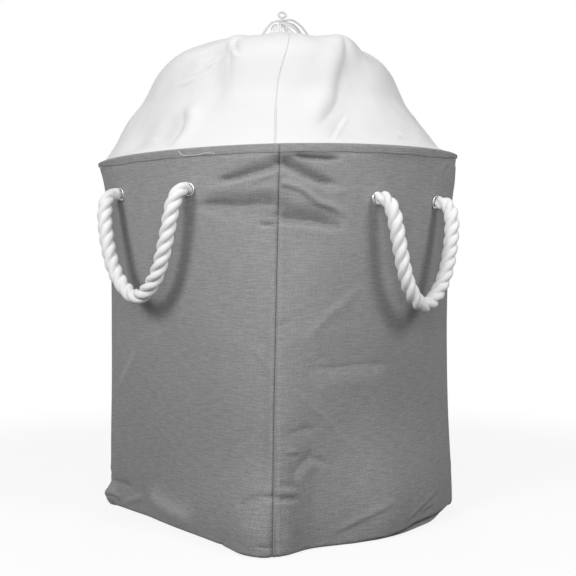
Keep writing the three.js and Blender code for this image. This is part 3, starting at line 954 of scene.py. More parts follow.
FRONT_FOLDS = (
    Fold(((1, 0.4655), (0.942, 0.460), (0.9, 0.4565), (0.85, 0.452), (0.76, 0.448)),
         9.2, 3.4, 2.0, 7, 5, (0, 0.3), 9.5, 0.3),
    Fold(((1, 0.4169), (0.933, 0.4190), (0.856, 0.4175), (0.785, 0.4199), (0.66, 0.4215)),
         8.6, 12, 1.0, -19, 5, (0, 0.35), 12, 0.35),
    Fold(((0.985, 0.453), (0.912, 0.4406), (0.861, 0.4347)), 0.5, 1.4, 0.5, -3, 2.4, (0.2, 0.5)),
    Fold(((1, 0.3932), (0.957, 0.3922), (0.92, 0.3952)), 4.4, 1.2, 0.5, 3, 3, (0, 0.4), 3.0),
    Fold(((1, 0.4041), (0.96, 0.4045)), 2.6, 1.2, 0.4, 3, 3, (0, 0.6), 2.4),
    Fold(((1, 0.0690), (0.945, 0.0650), (0.922, 0.0590), (0.88, 0.0520)),
         4.8, 1.4, 0.6, 5, 4, (0, 0.35), 3.2, 0.8),
    Fold(((0.0, 0.0345), (0.11, 0.0355), (0.23, 0.0350)), 2.8, 4.0, 0, 0, 10, (0, 0.5), 8),
    Fold(((0.787, 0.0), (0.82, 0.0050), (0.85, 0.0135)), 1.6, 1.6, 0.6, -4, 3, (0, 0.3), 3.0),
    Fold(((0.28, 0.034), (0.376, 0.029), (0.5, 0.023), (0.68, 0.020)),
         0, 6, 4.5, 0, 14, (0.25, 0.35)),
    Fold(((0.1, 0.0085), (0.2, 0.0200), (0.285, 0.0300)), 0, 3, 1.8, 0, 5, (0.3, 0.3)),
    Fold(((1, 0.0125), (0.985, 0.0120), (0.965, 0.0145)), 2.2, 1.2, 0, 0, 3, (0, 0.4), 2),
    Fold(((0.0, 0.012), (0.05, 0.014), (0.09, 0.006)), 2.0, 2.5, 1.2, 5, 4, (0, 0.4)),
    Fold(((0.08, 0.44), (0.05, 0.33), (0.09, 0.2)), 1.2, 16, 0, 0, 9, (0.4, 0.5)),
    Fold(((0.4, 0.40), (0.52, 0.30), (0.56, 0.2)), 0.9, 22, 0, 0, 9, (0.4, 0.5)),
    Fold(((0.993, 0.2104), (0.967, 0.217), (0.926, 0.2312), (0.87, 0.2497)),
         0.5, 3, 0.7, -4, 5, (0.2, 0.4)),
    Fold(((0.314, 0.2399), (0.211, 0.205), (0.07, 0.1613)), 0, 3, 2.0, 2, 6, (0.3, 0.3)),
)
RIGHT_FOLDS = (
    Fold(((0.035, 0.4795), (0.087, 0.4748), (0.15, 0.4723), (0.23, 0.4723)),
         7.0, 6.4, 0, 0, 4, (0.2, 0.3), 1.8, 0.7),
    Fold(((0, 0.4680), (0.025, 0.4660), (0.047, 0.4624), (0.088, 0.4549), (0.13, 0.4480),
          (0.16, 0.4440), (0.235, 0.4387)), 11.5, 7.5, 1.2, -8, 6, (0, 0.4), 3.0, 0.6),
    Fold(((0, 0.4031), (0.048, 0.3991), (0.1, 0.3972), (0.155, 0.3942), (0.209, 0.3893),
          (0.265, 0.3843)), 12, 14, 0.8, -9, 7, (0, 0.45), 3.4, 0.7),
    Fold(((0.0, 0.4400), (0.072, 0.4327), (0.102, 0.4258), (0.132, 0.4169), (0.202, 0.408),
          (0.27, 0.3952)), 2.0, 1.6, 2.2, 5, 4, (0.05, 0.35), 6.0),
    Fold(((0.18, 0.4300), (0.22, 0.4325), (0.262, 0.4345)), 0, 3, 0.8, 0, 2.0, (0.3, 0.3)),
    Fold(((0.797, 0.4815), (0.737, 0.4633), (0.75, 0.4452), (0.79, 0.427)),
         -1.2, 3, -1.0, 7, 5, (0.3, 0.4)),
    Fold(((0, 0.0690), (0.045, 0.0650), (0.1, 0.0610)), 4.6, 3.2, 0.6, -5, 4, (0, 0.5), 1.4),
    Fold(((0.02, 0.0830), (0.05, 0.0800), (0.1, 0.0750)), 2.4, 4.0, 1.4, -5, 4, (0.2, 0.5), 2.0),
    Fold(((0.037, 0.1171), (0.067, 0.1154), (0.097, 0.1154)), 2, 2.2, 1.2, 4, 3, (0.3, 0.3)),
    Fold(((0.201, 0.010), (0.281, 0.0212), (0.404, 0.0383), (0.53, 0.0480)),
         1.2, 2.0, 1.2, 4, 5, (0.3, 0.5), 7),
    Fold(((0.531, 0.0140), (0.581, 0.0210), (0.637, 0.0275), (0.709, 0.0345), (0.79, 0.0395)),
         2.6, 1.6, 1.0, 4, 4, (0.2, 0.4), 9),
    Fold(((0.632, 0.0175), (0.679, 0.0225), (0.747, 0.0230)), 1.8, 1.4, 0.8, 4, 4, (0.2, 0.4), 7),
    Fold(((0.16, 0.119), (0.1, 0.103), (0.05, 0.087)), 2.4, 7, 1.2, 11, 8, (0.3, 0.3), 7),
    Fold(((0.9, 0.40), (0.95, 0.28), (0.9, 0.16)), 1.0, 16, 0, 0, 9, (0.4, 0.5)),
    Fold(((0.094, 0.2159), (0.217, 0.217), (0.355, 0.2181), (0.508, 0.217)),
         1.1, 3, 1.6, -17, 15, (0.25, 0.12)),
    Fold(((0.09, 0.2432), (0.151, 0.2596), (0.207, 0.2781), (0.264, 0.2901), (0.375, 0.3218)),
         0, 3, 1.2, 5, 6, (0.2, 0.4)),
    Fold(((0.007, 0.2694), (0.074, 0.2792)), 1.6, 3.4, 0, 0, 4, (0, 0.5)),
    Fold(((0.057, 0.1984), (0.12, 0.1777), (0.207, 0.1559), (0.271, 0.134), (0.395, 0.0947)),
         0, 3, 1.1, 0, 3.2, (0.15, 0.15)),
    Fold(((0.03, 0.1384), (0.107, 0.145), (0.191, 0.1439)), 1.5, 4, 0, 0, 4, (0.3, 0.4)),
    Fold(((0.127, 0.1122), (0.191, 0.1035), (0.247, 0.0969)), 1.9, 4, 0.8, -7, 6, (0.1, 0.5)),
)
BACK_FOLDS = (
    Fold(((1, 0.462), (0.93, 0.458), (0.86, 0.447), (0.79, 0.441)), 2.4, 5, 1.8, 9, 6, (0, 0.5)),
    Fold(((1, 0.415), (0.9, 0.411), (0.8, 0.401)), 2.0, 8, 1.4, 12, 8, (0, 0.5)),
    Fold(((0, 0.05), (0.1, 0.046), (0.2, 0.034)), 2.0, 5, 1.4, 8, 6, (0, 0.5)),
    Fold(((0.6, 0), (0.68, 0.018), (0.8, 0.027)), 1.6, 5, 1.1, 8, 6, (0, 0.5)),
    Fold(((0.5, 0.40), (0.42, 0.28), (0.5, 0.15)), 1.1, 20, 0, 0, 9, (0.4, 0.5)),
)
LEFT_FOLDS = (
    Fold(((0, 0.456), (0.07, 0.45), (0.15, 0.444), (0.24, 0.43)), 2.6, 5, 2.0, 8, 6, (0, 0.5)),
    Fold(((0, 0.408), (0.1, 0.402), (0.2, 0.39)), 1.9, 7, 1.3, 11, 7, (0, 0.5)),
    Fold(((0.86, 0.06), (0.93, 0.048), (1, 0.046)), 2.0, 4, 1.4, 7, 5, (0.5, 0)),
    Fold(((0.3, 0), (0.42, 0.022), (0.55, 0.03)), 1.6, 5, 1.1, 8, 6, (0, 0.5)),
    Fold(((0.62, 0.42), (0.7, 0.3), (0.64, 0.18)), 1.1, 18, 0, 0, 9, (0.4, 0.5)),
)


WALL_CRUMPLES = (
    Crumple(85 * MM, 1.7 * MM, up=0.7),
    Crumple(28 * MM, 0.45 * MM, step=5, across=0.6),
    Crumple(11 * MM, 0.12 * MM, step=9),
)
# The table of turns has so many heights, steps in half a quarter of the plan, and shares.
TURN_HEIGHTS = 50
TURN_STEPS = 360
TURN_SHARES = 301


@dataclass(frozen=True)
class WallSurface:
    """One side's cloth as it really hangs: the plain form with its folds, sag and seams.

    bulge gives, in millimetres for shares across, how far the foot of the wall pushes out: full
    up to bulge_foot, and dying over bulge_height. tuck gives how far the cloth turns under just
    above the floor, and tuck_height where. ragged lifts the foot of the cloth at its two ends,
    about rag_place. The cloth lies flat within patch of an eyelet, and under the hem, from
    hem_line up, it keeps 1 - hem_hold of its folds. Beside a corner seam, which is pressed in
    by seam up to seam_end, a ridge stands where the tape lies behind.
    """

    side: Side
    folds: tuple[Fold, ...]
    bulge: Pairs
    tuck: Pairs = ((0, 0), (1, 0))
    tuck_height: Pairs = ((0, 0), (1, 0))
    bulge_foot: float = 20 * MM
    bulge_height: float = 60 * MM
    tuck_width: float = 3.2 * MM
    foot: float = 5 * MM
    rag_place: float = 16 * MM
    rag_width: float = 11 * MM
    rag_reach: float = 22 * MM
    patch: float = 19 * MM
    hem_line: tuple[float, float] = (474 * MM, 482 * MM)
    hem_hold: float = 0.85
    seam: float = 1.6 * MM
    seam_width: float = 1.7 * MM
    seam_end: tuple[float, float] = (478 * MM, 486 * MM)
    ridge: float = 0.7 * MM
    ridge_place: float = 6 * MM
    ridge_width: float = 4 * MM
    calm: float = 10 * MM
    join: float = 6 * MM
    seed: int = 1
    ragged: tuple[float, float] = (0.0, 0.0)

    def turns(self) -> tuple[Array, Array, Array]:
        """Table of turns by height and share, so that shares run by the cloth's own width."""
        cached = _TURNS.get(self.side.name)
        if cached is None:
            heights = np.linspace(0, FORM.rim_height, TURN_HEIGHTS)
            places = np.linspace(-0.5, 1.5, 4 * TURN_STEPS + 1)
            turn = (self.side.quarter + places) * QUARTER
            points = FORM.point(turn[None], heights[:, None])
            run = np.array([run_along(level) for level in points])
            start = run[:, TURN_STEPS] + FORM.drift(self.side.quarter, heights)
            end = run[:, 3 * TURN_STEPS] + FORM.drift(self.side.quarter + 1, heights)
            shares = 0.5 - 0.5 * np.cos(np.linspace(0, np.pi, TURN_SHARES))
            rows = [np.interp(a + shares * (b - a), r, turn) for a, b, r in zip(start, end, run)]
            cached = _TURNS[self.side.name] = (heights, np.array(rows), end - start)
        return cached

    def turn_at(self, share: Array, height: Array) -> Array:
        """Turn of the plan curve at a share of the cloth's width."""
        heights, rows, _ = self.turns()
        level = np.clip(height / heights[-1], 0, 1) * (len(heights) - 1)
        place = np.arccos(np.clip(1 - 2 * share, -1, 1)) / np.pi * (rows.shape[1] - 1)
        j = np.minimum(level.astype(int), len(heights) - 2)
        i = np.minimum(place.astype(int), rows.shape[1] - 2)
        a, b = place - i, level - j
        low = lerp(rows[j, i], rows[j, i + 1], a)
        return lerp(low, lerp(rows[j + 1, i], rows[j + 1, i + 1], a), b)

    def width(self, height: Array) -> Array:
        """Width of the cloth at a height."""
        heights, _, widths = self.turns()
        return np.interp(height, heights, widths)

    def rest(self, share: Array, height: Array, depth: Any = 0.0) -> Array:
        """A point of the plain wall at a share of its width."""
        share, height = np.broadcast_arrays(share, height)
        flat = FORM.point(self.turn_at(share, height), height, depth)
        return flat + FORM.shift(self.side)

    def facing(self, share: Array, height: Array) -> Array:
        """Outward direction of the cloth, shared with its neighbour at a corner seam."""
        share, height = np.broadcast_arrays(share, height)
        edge = np.minimum(share, 1 - share) * self.width(height)
        wide = lerp(0.004, 0.02, bell(edge, 30 * MM))
        tall = 4 * MM
        left, right = np.clip(share - wide, 0, 1), np.clip(share + wide, 0, 1)
        low, high = np.maximum(height - tall, 0), np.minimum(height + tall, FORM.rim_height)
        around = self.rest(right, height) - self.rest(left, height)
        normal = unit(np.cross(around, self.rest(share, high) - self.rest(share, low)))
        corner = (np.where(share < 0.5, 0, 1) + self.side.quarter + 0.5) * QUARTER
        radial = np.stack([np.cos(corner), np.sin(corner), np.zeros_like(corner)], axis=-1)
        return unit(lerp(normal, radial, bell(edge, 12 * MM)[..., None]))

    def line(self, fold: Fold) -> Array:
        """A fold's path as points on the cloth."""
        across, up = fold.drawn(0.01).T
        return self.rest(np.clip(across, 0, 1), np.maximum(up, 0))

    def offset(self, share: Array, height: Array) -> tuple[Array, Array]:
        """How far the cloth stands off the plain wall, joined to its neighbours at the seams."""
        off, press = self.alone(share, height)
        for end in (0, 1):
            edge = np.abs(share - end) * self.width(height)
            pull = bell(edge, self.join)
            heights, before, after = seam_offsets((self.side.quarter + end) % 4)
            mine = before if end else after
            off = off + pull * np.interp(height, heights, (before + after) / 2 - mine)
        return off, press

    def alone(self, share: Array, height: Array) -> tuple[Array, Array]:
        """How far the cloth would stand off without its neighbours, and its folding's share."""
        points, normals = self.rest(share, height), self.facing(share, height)
        wide = self.width(height)
        edge = np.minimum(share, 1 - share) * wide
        press = sum(fold.press(points, normals, self.line(fold)) for fold in self.folds)
        swell = sum(layer.press(share * wide, height, self.seed) for layer in WALL_CRUMPLES)
        clear = self.clear(points)
        free = clear * (1 - self.hem_hold * ease(*self.hem_line, height))
        press, swell = press * free, swell * free * (1 - bell(edge, self.calm))
        push = self.push(share, height, wide) * clear
        return press + swell + push + self.sewn(edge, height), press

    def push(self, share: Array, height: Array, wide: Array) -> Array:
        """How far the foot of the wall bulges, turns under and lifts at its ends."""
        low = bell(np.maximum(height - self.bulge_foot, 0), self.bulge_height)
        level = table(self.tuck_height, share) * MM
        out = soft_table(self.bulge, share) * MM * low
        out -= table(self.tuck, share) * MM * bell(height - level, self.tuck_width)
        rag = bell(height - self.rag_place, self.rag_width)
        for size, end in zip(self.ragged, (share, 1 - share)):
            out += size * rag * bell(end * wide, self.rag_reach)
        return out

    def clear(self, points: Array) -> Array:
        """1 on free cloth, falling to 0 in the middle of an eyelet."""
        out = np.ones(len(points))
        for share in self.side.shares:
            away = np.linalg.norm(points - Seat.of(self.side, share).point, axis=1)
            out *= 1 - bell(away, self.patch)
        return out

    def sewn(self, edge: Array, height: Array) -> Array:
        """How far a seam is pressed in and its tape stands out, and the foot curls under."""
        out = -self.seam * bell(edge, self.seam_width) * (1 - ease(*self.seam_end, height))
        out += self.ridge * bell(edge - self.ridge_place, self.ridge_width)
        under = np.clip(self.foot - height, 0, self.foot)
        return out - self.foot + np.sqrt(np.maximum(self.foot**2 - under**2, 0))

    def surface(self, share: Array, height: Array, depth: Any = 0.0, held: bool = False) -> Array:
        """Points of the hanging cloth.

        Args:
            share: shares across the side, in one row.
            height: heights, one for each share.
            depth: how far behind the cloth's face.
            held: whether the cloth lies on the hoop and can't sink in.

        Returns:
            One point for each share.
        """
        off, _ = self.offset(share, height)
        if held:
            off = np.clip(off, *HELD_OFF)
        moved = self.rest(share, height, depth) + self.facing(share, height) * off[:, None]
        moved[:, 2] = np.maximum(moved[:, 2], 0.0)
        return FORM.lean(moved)


HELD_OFF = (-0.2 * MM, 2 * MM)
SEAM_HEIGHTS = 494
_TURNS: dict[str, tuple[Array, Array, Array]] = {}
_SEAMS: dict[int, tuple[Array, Array, Array]] = {}


def seam_offsets(corner: int) -> tuple[Array, Array, Array]:
    """Heights up a corner seam, and how far the sides before and after it would stand off."""
    if corner not in _SEAMS:
        heights = np.linspace(0, FORM.rim_height, SEAM_HEIGHTS)
        sides = {surface.side.quarter: surface for surface in SURFACES.values()}
        before, _ = sides[(corner - 1) % 4].alone(np.ones(SEAM_HEIGHTS), heights)
        after, _ = sides[corner].alone(np.zeros(SEAM_HEIGHTS), heights)
        _SEAMS[corner] = (heights, before, after)
    return _SEAMS[corner]


SURFACES = {
    "front": WallSurface(
        SIDES[0], FRONT_FOLDS,
        ((0, -2), (0.1, -2.5), (0.28, -2.5), (0.4, 4), (0.52, 10), (0.66, 13), (0.8, 18),
         (0.895, 29), (0.96, 38), (1, 27)),
        ragged=(8 * MM, 0.0), seed=3,
    ),
    "right": WallSurface(
        SIDES[1], RIGHT_FOLDS,
        ((0, 17), (0.068, 12), (0.148, 8), (0.268, 22), (0.42, 46), (0.52, 46), (0.6, 40),
         (0.72, 35), (0.835, 25), (0.9, 18), (0.95, 11), (1, 0)),
        ((0.3, 0), (0.42, 5), (0.5, 8), (0.6, 10), (0.84, 9), (0.96, 5), (1, 0)),
        ((0.3, 1), (0.42, 2.2), (0.51, 4.2), (0.61, 6.4), (0.7, 6), (0.845, 3.4), (0.97, 2)),
        bulge_height=90 * MM, seed=11,
    ),
    "back": WallSurface(
        SIDES[2], BACK_FOLDS, ((0, 0), (0.25, 9), (0.6, 14), (0.85, 8), (1, 3)), seed=23,
    ),
    "left": WallSurface(
        SIDES[3], LEFT_FOLDS, ((0, 3), (0.3, 12), (0.6, 10), (0.85, 3), (1, -2)), seed=31,
        ragged=(0.0, 8 * MM),
    ),
}


# Pieces

AROUND = ("back", "left", "front", "right")
CLOTH_WIDTH = 352 * MM
# Fold depth that gives a finish its full painted shade or highlight.
FULL_PRESS = 3 * MM


def dressed(
    made: bpy.types.Object, finish: Finish, slot: str, body: str | None, *nodes: str
) -> bpy.types.Object:
    """Give a piece its finish and its place on a body.

    Args:
        made: the piece.
        finish: its surface finish.
        slot: the material slot's name; not used.
        body: the body it rides, or None for a piece that spans two, left unattached.
        nodes: the solids of the part that it stands for.

    Returns:
        The piece.
    """
    made.data.materials.clear()
    made.data.materials.append(finish.material())
    if body is None:
        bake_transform(made)
    else:
        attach(made, body)
    if nodes:
        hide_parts(*nodes)
    log.info("%s: %d faces", made.name, len(made.data.polygons))
    return made


@dataclass
class WallPanels:
    """The four canvas walls, each one sheet with its two eyelet holes.

    close holds the columns beside a seam, in millimetres from it. Cloth nearer an eyelet than
    hole is moved out to its circle, and only cloth within search of its middle is looked at.
    """

    cloth: float = 1.6 * MM
    hole: float = 7 * MM
    search: float = 20 * MM
    step: float = 2.4 * MM
    foot_top: float = 18 * MM
    foot_rows: int = 19
    head_low: float = 466 * MM
    head_rows: int = 15
    top: float = 487 * MM
    close: tuple[float, ...] = (0, 0.5, 1, 1.6, 2.3, 3.2, 4.4, 5.7, 7, 8.1, 9.1, 10, 10.8, 11.6,
                                12.5, 13.5, 14.7, 16.2, 18)

    def grid(self, surface: WallSurface) -> tuple[Array, Array]:
        """Shares and heights of the panel's rows, finer at its seams and at the floor."""
        wide = float(surface.width(np.array([0.25]))[0])
        close = np.array(self.close) * MM / wide
        middle = np.linspace(close[-1], 1 - close[-1], int(wide / self.step))
        foot = np.linspace(0, self.foot_top, self.foot_rows)
        body = np.arange(self.foot_top + self.step, self.head_low, self.step)
        head = np.linspace(self.head_low, self.top, self.head_rows)
        shares = np.concatenate([close[:-1], middle, 1 - close[:-1][::-1]])
        return shares, np.concatenate([foot, body, head])

    def pierced(self, seat: Seat, points: Array, faces: Array) -> Array:
        """Faces left round an eyelet's hole, whose edge is moved onto its circle in points."""
        away = points - seat.point
        flat = away - (away @ seat.normal)[:, None] * seat.normal
        reach = np.linalg.norm(flat, axis=1)
        near = (reach < self.hole) & (np.linalg.norm(away, axis=1) < self.search)
        points[near] += flat[near] * (self.hole / np.maximum(reach[near], 1e-5) - 1)[:, None]
        return faces[~near[faces].all(axis=1)]

    def shape(self, surface: WallSurface) -> Shape:
        """A panel's single skin."""
        shares, heights = self.grid(surface)
        share, height = (values.ravel() for values in np.meshgrid(shares, heights))
        points = surface.surface(share, height)
        _, press = surface.offset(share, height)
        cloth = np.column_stack([share * CLOTH_WIDTH, height])
        faces = np.array(grid_faces(len(heights), len(shares)))
        for mark in surface.side.shares:
            faces = self.pierced(Seat.of(surface.side, mark), points, faces)
        used = np.unique(faces)
        renumber = np.full(len(points), -1)
        renumber[used] = np.arange(len(used))
        # The fold depth, which the finish turns into painted shade in valleys and painted highlight
        # on ridges.
        marks = {"press": press[used] / FULL_PRESS}
        return Shape(points[used], renumber[faces].tolist(), cloth[used], marks)

    def build(self) -> None:
        """Make the four walls."""
        for surface in SURFACES.values():
            name = surface.side.name
            made = thickened(self.shape(surface).build(f"canvas_wall_{name}"), self.cloth)
            dressed(grounded(made), CANVAS, "canvas", None, f"{name}_panel")


@dataclass
class BaseCloth:
    """The canvas under the board, out to the foot of the walls."""

    cloth: float = 1.4 * MM
    lift: float = 0.2 * MM
    inset: float = 0.8 * MM
    per_side: int = 60
    rings: tuple[float, ...] = (1.0, 0.985, 0.95, 0.88, 0.76, 0.6, 0.42, 0.22)

    def build(self) -> None:
        """Make the base."""
        share = np.linspace(0, 1, self.per_side, endpoint=False)
        floor = np.zeros(self.per_side)
        foot = []
        for surface in (SURFACES[name] for name in AROUND):
            foot.append(surface.surface(share, floor) - surface.facing(share, floor) * self.inset)
        outline = np.concatenate(foot) * (1, 1, 0)
        middle = np.array([[0, 0, self.cloth + self.lift]])
        points = np.concatenate([*(outline * ring + middle for ring in self.rings), middle])
        faces = disc_faces(len(self.rings), len(outline))
        shape = Shape(points, faces, points[:, :2].copy(), {"press": np.zeros(len(points))})
        made = thickened(shape.build("base_cloth"), self.cloth)
        dressed(made, CANVAS, "canvas", "base", "bottom_panel")


@dataclass
class CornerTapes:
    """Bias tape folded over each corner seam, inside the bag."""

    width: float = 14 * MM
    behind: float = 2.6 * MM
    cloth: float = 1.0 * MM
    low: float = 13 * MM
    high: float = 472 * MM
    rows: int = 150
    columns: int = 7
    column_width: float = 2.3 * MM
    rib: float = 0.25 * MM
    rib_turn: float = 1200

    def column(self, surface: WallSurface, away: float, heights: Array, last: bool) -> Array:
        """Points up the tape at a distance from the seam, which starts or ends the wall."""
        share = away / surface.width(heights)
        depth = self.behind + self.rib * math.sin(away * self.rib_turn) ** 2
        return surface.surface(1 - share if last else share, heights, depth)

    def build(self) -> None:
        """Make the four tapes."""
        heights = np.linspace(self.low, self.high, self.rows)
        reach = np.linspace(0, self.width, self.columns)
        for corner, name in enumerate(("back_right", "back_left", "front_left", "front_right")):
            before, after = SURFACES[AROUND[corner - 1]], SURFACES[AROUND[corner]]
            columns = [self.column(before, away, heights, True) for away in reach[::-1]]
            columns += [self.column(after, away, heights, False) for away in reach[1:]]
            points = np.stack(columns, axis=1).reshape(-1, 3)
            across = np.arange(len(columns)) * self.column_width
            cloth = np.stack(np.meshgrid(across, heights), axis=-1).reshape(-1, 2)
            faces = grid_faces(self.rows, len(columns))
            shape = Shape(points, faces, cloth, {"press": np.zeros(len(points))})
            made = thickened(shape.build(f"seam_tape_{name}"), self.cloth)
            dressed(made, CANVAS, "canvas", None, f"corner_tape_{name}")


@dataclass
class RimHem:
    """The folded hem, one length on each side, over the sprung hoop.

    rows holds the outside's points up from its lower edge, which edge rounds off, both in
    millimetres. A pointed corner keeps the share narrow of the depth, and all of it is kept
    from the share narrow_until across. The lower edge waves a little along its length.
    """

    proud: float = 0.95 * MM
    behind: float = 5.5 * MM
    cloth: float = 0.8 * MM
    low: float = 481.5 * MM
    shoulder: float = 488.2 * MM
    inner_edge: float = 5 * MM
    rows: tuple[float, ...] = (0, 0.5, 1.5, 2.2, 2.6, 3.0, 3.8, 5, 6.5, 8, 9.2)
    edge: Pairs = ((0, 0.65), (0.5, 0.25), (1.5, 0))
    arc_steps: int = 15
    stitch_height: float = 483.6 * MM
    groove: float = 0.4 * MM
    groove_width: float = 0.5 * MM
    columns: int = 131
    narrow: float = 0.32
    narrow_until: float = 0.34
    wave: float = 0.35 * MM
    wave_turn: float = 41
    wave_height: float = 10 * MM

    def section(self) -> tuple[Array, Array]:
        """Depths and heights round the folded cloth, from its outer lower edge over the top."""
        middle, half = (self.behind - self.proud) / 2, (self.behind + self.proud) / 2
        rise, thin = FORM.rim_height - self.shoulder, half - self.cloth
        arc = np.linspace(np.pi, 0, self.arc_steps)[1:]
        inner = self.shoulder - self.inner_edge
        outside = [(table(self.edge, row) * MM - self.proud, self.low + row * MM)
                   for row in self.rows]
        over = [(middle + half * math.cos(a), self.shoulder + rise * math.sin(a)) for a in arc]
        inside = [(self.behind, inner), (self.behind, self.low)]
        back = [(middle + thin, self.low), (middle + thin, inner)]
        under = [(middle + thin * math.cos(a), self.shoulder + (rise - self.cloth) * math.sin(a))
                 for a in arc[::-1]]
        home = [(self.cloth - self.proud, self.low + row * MM) for row in self.rows[::-2]]
        depth, height = np.array([*outside, *over, *inside, *back, *under, *home]).T
        outer = depth < 0.05 * MM - self.proud
        sunk = self.groove * bell(height - self.stitch_height, self.groove_width) * outer
        return depth + sunk, height

    def lowered(self, surface: WallSurface, share: Array, height: Array) -> Array:
        """Heights of the hem, which narrows into a pointed corner."""
        pointed = share if surface.side.way > 0 else 1 - share
        keep = lerp(self.narrow, 1.0, ease(0, self.narrow_until, pointed))
        under = FORM.rim_height - height
        wave = self.wave * np.sin(share * self.wave_turn + surface.seed)
        return FORM.rim_height - under * keep + wave * np.clip(under / self.wave_height, 0, 1)

    def build(self) -> None:
        """Make the four lengths of hem."""
        depths, heights = self.section()
        run = run_along(np.column_stack([depths, heights]))
        shares = np.linspace(0, 1, self.columns)
        share, height = (v.ravel() for v in np.meshgrid(shares, heights, indexing="ij"))
        cloth = np.column_stack([share * CLOTH_WIDTH, np.tile(run, self.columns)])
        faces = [face[::-1] for face in tube_faces(self.columns, len(depths))]
        for surface in SURFACES.values():
            name = surface.side.name
            low = self.lowered(surface, share, height)
            points = surface.surface(share, low, np.tile(depths, self.columns), held=True)
            shape = Shape(points, faces, cloth, {"press": np.zeros(len(points))})
            made = shape.build(f"folded_hem_{name}")
            dressed(made, CANVAS, "canvas", "rim", f"hem_{name}")


@dataclass
class SprungHoop:
    """The wire in the hem, which keeps the mouth open."""

    wire: float = 4 * MM
    height: float = 489.5 * MM
    steps: int = 240
    sides: int = 12

    def build(self) -> None:
        """Make the hoop as a closed ring."""
        turn = np.linspace(0, math.tau, self.steps, endpoint=False)
        path = FORM.lean(FORM.point(turn, np.full(self.steps, self.height), self.wire / 2))
        ahead = unit(np.roll(path, -1, axis=0) - np.roll(path, 1, axis=0))
        side = unit(np.cross(ahead, UP))
        rise = np.cross(side, ahead)
        section = circle(self.sides, self.wire / 2)
        ring = side[:, None] * section[:, :1] + rise[:, None] * section[:, 1:]
        points = (path[:, None] + ring).reshape(-1, 3)
        made = Shape(points, ring_faces(self.steps, self.sides)).build("sprung_hoop")
        dressed(made, SPRING_WIRE, "hoop_wire", "rim", "rim_hoop")


# Ropes and cords


HANDLE_SHARES = (
    (1, 0, 0), (0.985, 0.058, 0.056), (0.956, 0.094, 0.149), (0.919, 0.112, 0.269),
    (0.859, 0.119, 0.403), (0.785, 0.123, 0.537), (0.689, 0.123, 0.672), (0.556, 0.119, 0.799),
    (0.378, 0.116, 0.903), (0.178, 0.112, 0.978), (0, 0.112, 1),
)


